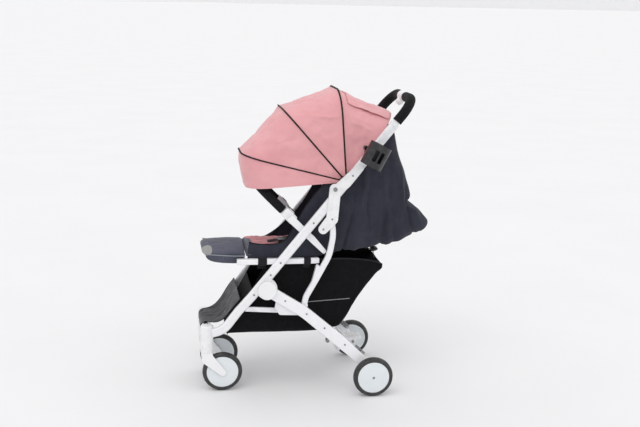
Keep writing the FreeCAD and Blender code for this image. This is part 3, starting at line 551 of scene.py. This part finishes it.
def puffed(piece, voxel=0.005, pressure=4.0, cap=0.008, frames=20):
    """Swells a closed form like stuffed cloth: remesh, a short pressure simulation with a cap, one subdivision."""
    applied(modified(piece, "REMESH", mode="VOXEL", voxel_size=voxel, use_smooth_shade=True))
    start = np.zeros(len(piece.data.vertices) * 3)
    piece.data.vertices.foreach_get("co", start)
    cloth = piece.modifiers.new("cloth", "CLOTH")
    cloth.settings.use_pressure = True
    cloth.settings.uniform_pressure_force = pressure
    cloth.settings.effector_weights.gravity = 0.0
    cloth.settings.quality = 5
    cloth.point_cache.frame_start = 1
    cloth.point_cache.frame_end = frames
    for frame_number in range(1, frames + 1):
        bpy.context.scene.frame_set(frame_number)
    applied(piece)
    bpy.context.scene.frame_set(1)
    moved = np.zeros(len(piece.data.vertices) * 3)
    piece.data.vertices.foreach_get("co", moved)
    shift = (moved - start).reshape(-1, 3)
    length = np.linalg.norm(shift, axis=1, keepdims=True)
    shift *= np.minimum(1.0, cap / np.maximum(length, 1e-9))
    piece.data.vertices.foreach_set("co", (start.reshape(-1, 3) + shift).ravel())
    modified(piece, "SMOOTH", factor=0.5, iterations=4)
    modified(piece, "SUBSURF", levels=1, render_levels=1)
    return applied(piece)


def side_rings(outline, half_width, inset, steps):
    """Rings for a pad with a side-view outline: full in the middle, drawn in towards both sides."""
    outline = np.asarray(outline, float)
    centre = outline.mean(axis=0)
    rings = []
    for k in range(steps + 1):
        share = -1.0 + 2.0 * k / steps
        shrink = inset * max(0.0, abs(share) - 0.82) / 0.18
        size = outline - centre
        reach = np.linalg.norm(size, axis=1, keepdims=True)
        drawn = centre + size * (1.0 - shrink / np.maximum(reach, 1e-9))
        rings.append([(x, share * half_width, z) for x, z in drawn])
    return rings


# ---------------------------------------------------------------- canopy
# A rib is its angle in degrees, its reach from the pivot and its half width.
PIVOT = (0.095, 0.778)
REAR_RIB = (94.8, 0.321, 0.1423)
MIDDLE_RIB = (131.6, 0.334, 0.136)
FRONT_RIB = (166.0, 0.378, 0.1296)
HANDLE_EDGE = (54.5, 0.292, 0.1423)
VISOR_EDGE = (185.5, 0.352, 0.1296)
RIB_START = 0.024
CANOPY_WIDTH = 0.88
CANOPY_CREASE = 0.0060
CANOPY_ROWS, CANOPY_COLUMNS = 44, 190
REAR_SAG = 0.010
ARCH_CORNER = 0.085


def arch(rib, count, grow=0.0, start=RIB_START, corner=ARCH_CORNER):
    """Evenly spaced points over a rib, from the left foot to the right one."""
    angle, reach, half = rib
    along = (math.cos(math.radians(angle)), math.sin(math.radians(angle)))
    reach, half = reach + grow, half + grow
    outline = [(-half, start)]
    bend = 16
    for k in range(bend + 1):
        turn = math.pi / 2 * k / bend
        outline.append((-half + corner * (1 - math.cos(turn)), reach - corner * (1 - math.sin(turn))))
    for k in range(bend + 1):
        turn = math.pi / 2 * (1 - k / bend)
        outline.append((half - corner * (1 - math.cos(turn)), reach - corner * (1 - math.sin(turn))))
    outline.append((half, start))
    flat = resampled(outline, count)
    return np.stack(
        [PIVOT[0] + along[0] * flat[:, 1], flat[:, 0], PIVOT[1] + along[1] * flat[:, 1]], axis=1)


def canopy_surface(first, second, rows, columns, sag, crease, seed, grow=0.0006):
    """Cloth stretched between two arches, drawn in between them and lightly creased."""
    near, far = arch(first, columns, grow), arch(second, columns, grow)
    share = np.linspace(0.0, 1.0, rows)[:, None, None]
    points = near[None] * (1 - share) + far[None] * share
    centre = np.array([PIVOT[0], 0.0, PIVOT[1]])
    normals = outward_normals(points, centre)
    fade = np.sin(np.pi * np.linspace(0.0, 1.0, rows))[:, None]
    foot = np.sin(np.pi * np.linspace(0.0, 1.0, columns))[None, :] ** 0.5
    reach = np.linalg.norm(points - centre, axis=2) / 0.33
    folds = np.zeros(points.shape[:2])
    chooser = random.Random(seed)
    along = np.linspace(0.0, 1.0, columns)[None, :]
    across = np.linspace(0.0, 1.0, rows)[:, None]
    for _ in range(26):
        where, lean = chooser.uniform(0.03, 0.97), chooser.uniform(-0.16, 0.16)
        width, length = chooser.uniform(0.006, 0.018), chooser.uniform(0.15, 0.4)
        middle, depth = chooser.uniform(0.15, 0.85), chooser.uniform(0.3, 1.0)
        bend = lean * (across - middle) + 0.05 * math.copysign(1.0, lean) * (across - middle) ** 2
        ridge = np.exp(-((along - where - bend) / width) ** 2) * np.exp(-((across - middle) / length) ** 2)
        folds += depth * ridge * chooser.choice((-1.0, 1.0, 1.0))
    waves = smooth_noise(points, 22.0, seed) + 0.5 * smooth_noise(points, 48.0, seed + 5)
    lift = -sag * fade * reach + crease * (folds * 0.8 + waves * 0.9) * fade ** 0.6 * foot
    return points + normals * lift[:, :, None]


def canopy_piece(name, points, node):
    piece = thickened(add_piece(name, grid_mesh(name, points), "pink_fabric"), 0.0012, 0.0)
    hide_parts(node)
    area = cloth_area(piece)
    length = area / CANOPY_WIDTH * 1.25
    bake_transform(piece)
    return piece, length, area


def build_canopy():
    panels = (
        ("canopy_cloth_rear", REAR_RIB, HANDLE_EDGE, "canopy_rear_panel", ("canopy_rear", "chassis"), REAR_SAG, 2),
        ("canopy_cloth_top", REAR_RIB, MIDDLE_RIB, "canopy_top_panel", ("canopy_rear", "canopy_middle"), 0.004, 3),
        ("canopy_cloth_front", MIDDLE_RIB, FRONT_RIB, "canopy_front_panel", ("canopy_middle", "canopy_front"),
         0.004, 4),
    )
    for name, first, second, node, bodies, sag, seed in panels:
        points = canopy_surface(first, second, CANOPY_ROWS, CANOPY_COLUMNS, sag, CANOPY_CREASE, seed)
        piece, length, area = canopy_piece(
            name, points, node)
    build_visor()
    build_vent()
    for name, rib, body in (("canopy_piping_rear", REAR_RIB, "canopy_rear"),
                            ("canopy_piping_middle", MIDDLE_RIB, "canopy_middle")):
        piece = tube(name, arch(rib, 120, 0.0028, 0.020), 0.0026, "piping")
        carried(piece, body)
    piece = tube("canopy_piping_front", arch(FRONT_RIB, 120, 0.0036, 0.020), 0.0012, "dark_fabric")
    carried(piece, "canopy_front")


def build_visor():
    points = canopy_surface(FRONT_RIB, VISOR_EDGE, 30, CANOPY_COLUMNS, -0.004, 0.0022, 9, 0.0008)
    share = np.linspace(0.0, 1.0, 30)[:, None]
    points[:, :, 2] += 0.006 * np.sin(np.linspace(0, math.pi, CANOPY_COLUMNS))[None, :] * share
    visor = thickened(add_piece("canopy_cloth_visor", grid_mesh("visor", points), "pink_fabric"), 0.0014, 0.0)
    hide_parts("canopy_visor")
    carried(visor, "canopy_front")
    hem = tube("canopy_hem", points[-1], 0.0022, "pink_fabric")
    carried(hem, "canopy_front")


def build_vent():
    """The rolled vent flap across the top of the rear panel."""
    columns = CANOPY_COLUMNS
    points = canopy_surface(REAR_RIB, HANDLE_EDGE, CANOPY_ROWS, columns, REAR_SAG, CANOPY_CREASE, 2)
    normals = outward_normals(points, np.array([PIVOT[0], 0.0, PIVOT[1]]))
    low, high = int(columns * 0.335), int(columns * 0.665)
    part = points[6:-1, low:high + 1]
    out = normals[6:-1, low:high + 1]
    side = np.abs(np.linspace(-1.0, 1.0, high - low + 1))[None, :]
    rise = 0.0035 + 0.006 * np.clip((side - 0.75) / 0.25, 0, 1) ** 2 * np.sin(
        np.pi * np.linspace(0.0, 1.0, part.shape[0]))[:, None]
    flap = part + out * rise[:, :, None]
    piece = thickened(add_piece("canopy_vent_flap", grid_mesh("vent", flap), "pink_fabric"), 0.0014, 0.0)
    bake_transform(piece)


# ---------------------------------------------------------------- curtain and backrest
TUBE_ANGLE = math.radians(51.0)


def on_tube(along, across=0.0):
    c, s = math.cos(TUBE_ANGLE), math.sin(TUBE_ANGLE)
    return (-0.205 + along * c - across * s, 0.4118 + along * s + across * c)


def curtain_points(rows, half_columns):
    """The hanging back cover: both side walls, the rear face and the underside in one sheet."""
    rear = softened_route([
        (0.258, 0.975), (0.272, 0.950), (0.290, 0.869), (0.313, 0.797), (0.330, 0.735), (0.336, 0.712),
        (0.330, 0.694), (0.340, 0.679), (0.372, 0.660), (0.393, 0.638), (0.408, 0.617), (0.396, 0.597),
        (0.324, 0.560), (0.225, 0.531), (0.103, 0.517), (0.052, 0.509),
    ], 2)
    rear = resampled(rear, rows)
    front = resampled(softened_route([
        on_tube(0.712, -0.020), on_tube(0.60, -0.020), on_tube(0.48, -0.030), on_tube(0.42, -0.020),
        (0.030, 0.670), (0.020, 0.600), (0.030, 0.545),
    ], 2), rows)
    return wrapped_sheet(front, rear, 0.1185, 0.034, 9, half_columns)


def build_curtain():
    rows, half_columns = 130, 96
    points = curtain_points(rows, half_columns)
    normals = outward_normals(points, np.array([0.19, 0.0, 0.68]))
    x, y, z = points[:, :, 0], points[:, :, 1], points[:, :, 2]
    fan = (x - 0.20) / (1.30 - z)
    drop = np.clip((0.97 - z) / 0.42, 0.0, 1.0)
    chooser = random.Random(SEED)
    folds = np.zeros(x.shape)
    sideways = np.sign(y) * 0.37
    for _ in range(30):
        where = chooser.uniform(-0.33, 0.30)
        width, depth = chooser.uniform(0.006, 0.020), chooser.uniform(0.35, 1.0)
        level, tall = chooser.uniform(0.55, 0.88), chooser.uniform(0.07, 0.2)
        wander = 0.010 * np.sin(z * 22.0 + chooser.uniform(0.0, 6.0))
        hand = chooser.choice((-1.0, 1.0))
        near = np.exp(-((fan - where + wander) / width) ** 2) * np.exp(-((z - level) / tall) ** 2)
        folds += depth * near * chooser.choice((-1.0, 1.0)) * (1.0 + 0.4 * hand * np.sign(sideways))
    for _ in range(12):
        where, width = chooser.uniform(-0.10, 0.10), chooser.uniform(0.006, 0.014)
        level, tall = chooser.uniform(0.6, 0.88), chooser.uniform(0.1, 0.2)
        near = np.exp(-((y - where) / width) ** 2) * np.exp(-((z - level) / tall) ** 2)
        folds += chooser.uniform(-0.8, 0.8) * near * (x > 0.24)
    waves = smooth_noise(points, 9.0, 3, (1.4, 1.4, 0.6)) * 1.2 + 0.5 * smooth_noise(points, 26.0, 8, (1.5, 1.5, 0.7))
    edge = np.ones(rows)
    edge[:12] = np.linspace(0.0, 1.0, 12)
    edge[-10:] = np.linspace(1.0, 0.2, 10)
    reach = edge_fade(points.shape[1], 10)
    lift = (0.0100 * folds * (0.35 + 0.65 * drop) + 0.0052 * waves * drop) * edge[:, None] * reach[None, :]
    seam = np.exp(-((np.linalg.norm(points - np.array([0.333, 0.0, 0.694]), axis=2)) / 0.5) ** 2)
    belt = np.exp(-((z - (0.694 - 0.35 * (0.333 - x))) / 0.010) ** 2) * (x > 0.27)
    lift -= 0.0045 * belt * seam
    points = points + normals * np.clip(lift, -0.016, 0.0085)[:, :, None]
    piece = thickened(add_piece("back_cover", grid_mesh("back_cover", points), "navy_fabric"), 0.0014, 0.0)
    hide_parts("rear_curtain")
    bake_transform(piece)
    hem = tube("back_cover_hem", points[:, 0][26:], 0.0016, "navy_fabric")
    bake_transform(hem)


def build_backrest():
    outline = softened_route([
        (0.050, 0.522), (0.225, 0.540), (0.322, 0.567), (0.386, 0.606), (0.397, 0.617), (0.382, 0.627),
        (0.300, 0.598), (0.200, 0.572), (0.050, 0.558), (0.050, 0.522)], 2)[:-1]
    pad = puffed(loft_solid("backrest_pad", side_rings(outline, 0.111, 0.010, 28), "pink_lining"), 0.006, 3.0, 0.005)
    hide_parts("backrest")
    carried(pad, "backrest")


# ---------------------------------------------------------------- seat
def build_seat():
    outline = softened_route([
        (-0.250, 0.506), (0.016, 0.506), (0.017, 0.517), (-0.250, 0.517), (-0.250, 0.506)], 2)[:-1]
    pad = puffed(loft_solid("seat_pad", side_rings(outline, 0.114, 0.002, 28), "navy_fabric"), 0.004, 4.0, 0.0025)
    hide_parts("seat_base")
    carried(pad, "chassis")
    outline = softened_route([
        (-0.252, 0.5205), (-0.252, 0.5265), (-0.120, 0.5290), (0.016, 0.5275), (0.016, 0.5205),
        (-0.252, 0.5205)], 2)[:-1]
    liner = loft_solid("seat_liner_pad", side_rings(outline, 0.110, 0.001, 28), "pink_lining")
    liner = puffed(liner, 0.003, 4.0, 0.002)
    rumple(liner, 0.0030, 34.0, 4)
    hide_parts("seat_liner")
    carried(liner, "chassis")
    build_wings()
    build_harness()


def rumple(piece, depth, scale, seed):
    """Shifts a mesh's points along their normals by smooth noise."""
    vertices = piece.data.vertices
    normals = [vertex.normal.copy() for vertex in vertices]
    moved = []
    for vertex, normal in zip(vertices, normals):
        value = noise.noise(vertex.co * scale + Vector((seed, seed, seed)))
        value += 0.5 * noise.noise(vertex.co * scale * 2.3 + Vector((seed, 0.0, seed)))
        moved.extend(vertex.co + normal * (depth * value))
    vertices.foreach_set("co", moved)
    piece.data.update()


def build_wings():
    """The dark side walls of the seat unit, from the seat's edge up beside the frame."""
    near_upper = [(-0.248, 0.556), (-0.225, 0.551), (-0.202, 0.548), (-0.160, 0.549), (-0.119, 0.556), (-0.085, 0.620),
                  (-0.040, 0.700), (0.020, 0.772), (0.050, 0.792)]
    far_upper = [(-0.146, 0.525), (-0.097, 0.574), (-0.033, 0.635), (0.012, 0.712), (0.050, 0.792)]
    lower = [(-0.254, 0.500), (-0.190, 0.497), (-0.110, 0.496), (-0.040, 0.500), (0.010, 0.505), (0.042, 0.515)]
    rows, columns = 60, 90
    bottom = resampled(softened_route(lower, 2), columns)
    share = np.linspace(0.0, 1.0, rows)[:, None]
    for side, upper in ((-1, near_upper), (1, far_upper)):
        top = resampled(softened_route(upper, 2), columns)
        flat = bottom[None] * (1 - share[:, :, None]) + top[None] * share[:, :, None]
        points = np.stack([flat[:, :, 0], np.full(flat.shape[:2], 0.0), flat[:, :, 1]], axis=2)
        ripple = smooth_noise(points, 11.0, 20 + side, (1.0, 1.0, 0.6)) + 0.5 * smooth_noise(points, 30.0, 30 + side)
        hang = np.sin(np.pi * share) ** 0.7
        inward = 0.010 * np.clip((-0.10 - flat[:, :, 0]) / 0.08, 0.0, 1.0) * share ** 1.5
        points[:, :, 1] = side * (0.1205 + 0.0050 * ripple * hang - inward)
        name = "wing_" + ("left" if side < 0 else "right")
        piece = thickened(add_piece(name, grid_mesh(name, points), "navy_fabric"), 0.0016, 0.0)
        if side < 0:
            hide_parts("side_wings")
        carried(piece, "chassis")
        edge = tube(name + "_piping", points[-1], 0.0022, "dark_fabric")
        carried(edge, "chassis")


def build_harness():
    top = 0.5360
    for side in (-1, 1):
        name = "left" if side < 0 else "right"
        belt = [(-0.112, side * 0.020, top + 0.004), (-0.080, side * 0.050, top + 0.002),
                (-0.030, side * 0.085, top), (0.010, side * 0.102, top), (0.030, side * 0.108, 0.5335)]
        piece = strap("lap_belt_" + name, softened_route(belt, 3), 0.022, 0.0018, (0.62, side * -0.2, 0.0))
        carried(piece, "chassis")
        crossing = [(-0.104, side * 0.016, top + 0.006), (-0.060, side * 0.040, top + 0.006),
                    (-0.012, side * 0.052, top + 0.008), (0.026, side * 0.056, 0.556), (0.050, side * 0.056, 0.567)]
        piece = strap("shoulder_belt_" + name, softened_route(crossing, 3), 0.024, 0.0018, (0.1, 1.0, 0.0))
        carried(piece, "chassis")
        upper = [(0.058, side * 0.056, 0.574), (0.130, side * 0.056, 0.583), (0.215, side * 0.050, 0.600),
                 (0.285, side * 0.046, 0.616)]
        upper = softened_route(upper, 3)
        piece = strap("shoulder_strap_" + name, upper, 0.036, 0.0045, (0.0, 1.0, 0.0), "pink_lining")
        carried(piece, "backrest")
    crotch = [(-0.170, 0.0, top - 0.002), (-0.150, 0.0, top + 0.001), (-0.134, 0.0, top + 0.003)]
    piece = strap("crotch_strap", softened_route(crotch, 2), 0.026, 0.0018, (0.0, 1.0, 0.0))
    carried(piece, "chassis")


# ---------------------------------------------------------------- leg rest and foot panel
LEG_OUTLINE = [
    (-0.262, 0.507), (-0.300, 0.507), (-0.398, 0.507), (-0.412, 0.511), (-0.4195, 0.520), (-0.413, 0.529),
    (-0.388, 0.5365), (-0.330, 0.539), (-0.262, 0.539), (-0.259, 0.530), (-0.259, 0.515)]
LEG_FLOOR, LEG_CROWN, LEG_FALL = 0.507, 0.539, 0.0235


def crowned_rings(outline, half_width, steps, nose=0.0):
    """Rings for a thin pad that arches over its width; nose rounds its front corners."""
    rings = []
    for k in range(steps + 1):
        share = -1.0 + 2.0 * k / steps
        rise = (LEG_CROWN - LEG_FALL * share ** 2 - LEG_FLOOR) / (LEG_CROWN - LEG_FLOOR)
        back = nose * max(0.0, (abs(share) - 0.4) / 0.6) ** 2.4
        ring = []
        for x, z in outline:
            moved = x + back * min(1.0, max(0.0, (-0.33 - x) / 0.08))
            ring.append((moved, share * half_width, LEG_FLOOR + (z - LEG_FLOOR) * rise))
        rings.append(ring)
    return rings


def build_leg_rest():
    outline = softened_route(LEG_OUTLINE + LEG_OUTLINE[:1], 2)[:-1]
    pad = puffed(loft_solid("leg_rest_cushion", crowned_rings(outline, 0.1205, 40, 0.018), "slate_fabric"), 0.004, 4.0,
                 0.003)
    rumple(pad, 0.0012, 30.0, 11)
    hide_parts("leg_rest_pad")
    carried(pad, "leg_rest")
    skirt_line = [(-0.4020, 0.514), (-0.399, 0.505), (-0.393, 0.498), (-0.380, 0.491), (-0.350, 0.486),
                  (-0.300, 0.482), (-0.284, 0.4835)]
    top_line = [(-0.4030, 0.5185), (-0.395, 0.5175), (-0.360, 0.5145), (-0.316, 0.511), (-0.262, 0.5095)]
    rows, columns = 16, 110
    upper, lower = resampled(softened_route(top_line, 2), columns), resampled(softened_route(skirt_line, 2), columns)
    share = np.linspace(0.0, 1.0, rows)[:, None, None]
    flat = upper[None] * (1 - share) + lower[None] * share
    for side in (-1, 1):
        name = "leg_rest_skirt_" + ("left" if side < 0 else "right")
        points = np.stack([flat[:, :, 0], np.zeros(flat.shape[:2]), flat[:, :, 1]], axis=2)
        ripple = smooth_noise(points, 24.0, 40 + side) * np.sin(np.pi * share[:, :, 0] * 0.9)
        points[:, :, 1] = side * (0.1225 + 0.003 * ripple - 0.006 * share[:, :, 0])
        piece = thickened(add_piece(name, grid_mesh(name, points), "slate_fabric"), 0.0016, 0.0)
        carried(piece, "leg_rest")
        piping = tube(name + "_piping", np.stack([upper[:, 0], np.full(columns, side * 0.1235), upper[:, 1]], axis=1),
                      0.0018, "thread")
        carried(piping, "leg_rest")
    columns = 40
    under = resampled(softened_route(skirt_line, 2), 60)
    across = np.linspace(-0.1165, 0.1165, columns)
    points = np.stack([np.stack([np.full(columns, x), across, np.full(columns, z)], axis=1) for x, z in under])
    points[:, :, 2] += 0.003 * smooth_noise(points, 16.0, 77)
    mesh = grid_mesh("leg_rest_underside", points)
    piece = thickened(add_piece("leg_rest_underside", mesh, "slate_fabric"), 0.0014, 0.0)
    carried(piece, "leg_rest")
    build_seat_front()


def build_seat_front():
    """The cover's short run between the leg rest's hinge and the seat."""
    outline = softened_route([
        (-0.2575, 0.509), (-0.2490, 0.507), (-0.2300, 0.507), (-0.2260, 0.536), (-0.2490, 0.5385), (-0.2575, 0.537),
        (-0.2575, 0.509)], 2)[:-1]
    piece = loft_solid("seat_front_roll", crowned_rings(outline, 0.1185, 40), "slate_fabric")
    modified(piece, "SUBSURF", levels=1, render_levels=1)
    applied(piece)
    carried(piece, "chassis")
    for k, at_x in enumerate((-0.2495, -0.2440)):
        across = np.linspace(-1.0, 1.0, 60)
        seam = [(at_x, 0.1185 * share, LEG_CROWN - LEG_FALL * share ** 2 - 0.0012) for share in across]
        stitch = tube(f"seat_front_stitch_{k}", seam, 0.0006, "thread")
        carried(stitch, "chassis")


def build_foot_panel():
    route = softened_route([
        (-0.4185, 0.217), (-0.4195, 0.246), (-0.404, 0.2575), (-0.370, 0.256), (-0.339, 0.2745), (-0.307, 0.3245),
        (-0.281, 0.3555)], 2)
    line = resampled(route, 90)
    stations = [-0.43, -0.395, -0.372, -0.34, -0.30, -0.26]
    widths = [0.078, 0.078, 0.096, 0.120, 0.138, 0.148]
    columns = 80
    rows = []
    for k, (x, z) in enumerate(line):
        half = float(np.interp(x, stations, widths))
        across = np.linspace(-1.0, 1.0, columns)
        sag = 0.010 * (1 - across ** 2) * math.sin(math.pi * k / 89)
        rows.append(np.stack([x + 0.7 * sag, across * half, z - 0.7 * sag], axis=1))
    points = np.array(rows)
    pulls = smooth_noise(points, 14.0, 60, (1.0, 2.0, 1.0)) + 0.6 * smooth_noise(points, 34.0, 61, (1.0, 2.0, 1.0))
    fade = np.sin(np.linspace(0.0, math.pi, 90))[:, None] * (1 - np.linspace(-1.0, 1.0, columns)[None, :] ** 6)
    points += grid_normals(points) * (0.0028 * pulls * fade)[:, :, None]
    piece = thickened(add_piece("foot_cloth", grid_mesh("foot_cloth", points), "foot_fabric"), 0.0016, 0.0)
    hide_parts("foot_panel")
    carried(piece, "chassis")
    for name, column in (("left", 0), ("right", -1)):
        hem = tube("foot_hem_" + name, points[:, column], 0.0018, "dark_fabric")
        carried(hem, "chassis")


# ---------------------------------------------------------------- basket
def build_basket():
    outer = [(-0.326, 0.216), (0.076, 0.216), (0.106, 0.253), (0.150, 0.335), (0.215, 0.427), (0.241, 0.449),
             (0.241, 0.464)]
    rim = [(-0.189, 0.476), (-0.10, 0.484), (0.00, 0.490), (0.10, 0.492), (0.17, 0.486), (0.218, 0.478),
           (0.241, 0.466)]
    front = [(-0.326, 0.216), (-0.236, 0.386)]
    half = 0.1165
    rows, columns = 120, 60
    base = resampled(softened_route(outer, 2), rows)
    top = resampled(softened_route(rim, 2), rows)
    points = wrapped_sheet(top, base, half, 0.020, 7, columns)
    normals = outward_normals(points, np.array([0.0, 0.0, 0.35]))
    sag = smooth_noise(points, 8.0, 90) * 0.9 + 0.5 * smooth_noise(points, 22.0, 91)
    reach = edge_fade(points.shape[1], 8)
    points = points + normals * (0.0035 * sag * reach[None, :])[:, :, None]
    across = np.linspace(-1.0, 1.0, 50)
    front_line = resampled(front, 40)
    wall = np.stack([np.stack([np.full(50, x), across * half, np.full(50, z)], axis=1) for x, z in front_line])
    bulge = (1 - across[None, :] ** 2) * np.sin(np.linspace(0, math.pi, 40))[:, None]
    wall[:, :, 0] -= 0.004 * bulge
    cut = int(np.searchsorted(top[:, 0] + base[:, 0], 2 * 0.150))
    cloths = []
    halves = (("basket_cloth", points[:cut + 1], "basket"), ("basket_tail_cloth", points[cut:], "basket_tail"))
    for name, part, node in halves:
        piece = thickened(add_piece(name, grid_mesh(name, part), "black_mesh"), 0.0014, 0.0)
        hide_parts(node)
        cloths.append(piece)
    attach(cloths[0], "chassis")
    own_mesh(cloths[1])
    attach(cloths[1], "chassis")
    front_piece = thickened(add_piece("basket_front", grid_mesh("basket_front", wall), "black_mesh"), 0.0014, 0.0)
    carried(front_piece, "chassis")
    for side in (-1, 1):
        name = "left" if side < 0 else "right"
        edge = np.stack([top[:, 0], np.full(rows, side * half), top[:, 1]], axis=1)
        rim_front = tube("basket_rim_" + name, edge[:cut + 1], 0.0030, "webbing")
        carried(rim_front, "chassis")
        rim_tail = tube("basket_rim_tail_" + name, edge[cut:], 0.0030, "webbing")
        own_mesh(rim_tail)
        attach(rim_tail, "chassis")
        # A thin grey strip along each basket side: a seam line whose grey is a painted highlight, the light caught
        # along the seam.
        line = [(-0.036, side * 0.1185, 0.3315), (0.03, side * 0.1187, 0.3355), (0.122, side * 0.1187, 0.3405)]
        seam_highlight = strap("basket_seam_highlight_" + name, softened_route(line, 2), 0.0028, 0.0008, (0.0, 0.0, 1.0), "grey_trim")
        carried(seam_highlight, "chassis")
        for k, (low, high) in enumerate(((-0.218, -0.186), (-0.053, -0.028))):
            build_rail_loop(f"rail_loop_{name}_{k}", side, low, high)


def build_rail_loop(name, side, low, high):
    """A cloth loop round a seat rail that holds the basket's rim."""
    inner, outer, bottom, top = 0.1232, 0.1472, 0.4795, 0.5042
    ring = softened_route([
        (side * inner, 0.462), (side * inner, bottom), (side * inner, top), (side * outer, top),
        (side * outer, bottom),
        (side * (inner + 0.004), bottom - 0.001), (side * (inner - 0.003), 0.462)], 2)
    line = resampled(ring, 60)
    widths = np.linspace(low, high, 14)
    points = np.stack([np.stack([widths, np.full(14, y), np.full(14, z)], axis=1) for y, z in line])
    piece = thickened(add_piece(name, grid_mesh(name, points), "dark_fabric"), 0.0012, 0.0)
    carried(piece, "chassis")


def build_recline_strap():
    """The webbing and buckle between the backrest and the basket's rim."""
    for side in (-1, 1):
        name = "left" if side < 0 else "right"
        y = side * 0.072
        line = softened_route([(0.212, y, 0.528), (0.213, y, 0.515), (0.217, y, 0.492), (0.219, y, 0.480)], 2)
        piece = strap("recline_strap_" + name, line, 0.018, 0.0018, (0.3, 1.0, 0.0))
        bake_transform(piece)
        bulk = softened_route([(0.204, 0.508), (0.228, 0.511), (0.230, 0.523), (0.205, 0.521), (0.204, 0.508)], 2)[:-1]
        rings = [[(x, y + dy, z) for x, z in bulk] for dy in (-0.014, -0.012, 0.012, 0.014)]
        buckle = loft_solid("recline_buckle_" + name, rings, "black_plastic")
        carried(buckle, "backrest")


MATERIALS = build_materials()
build_camera()
build_studio()
dress_nodes()
build_canopy()
build_curtain()
build_backrest()
build_seat()
build_leg_rest()
build_foot_panel()
build_basket()
build_recline_strap()
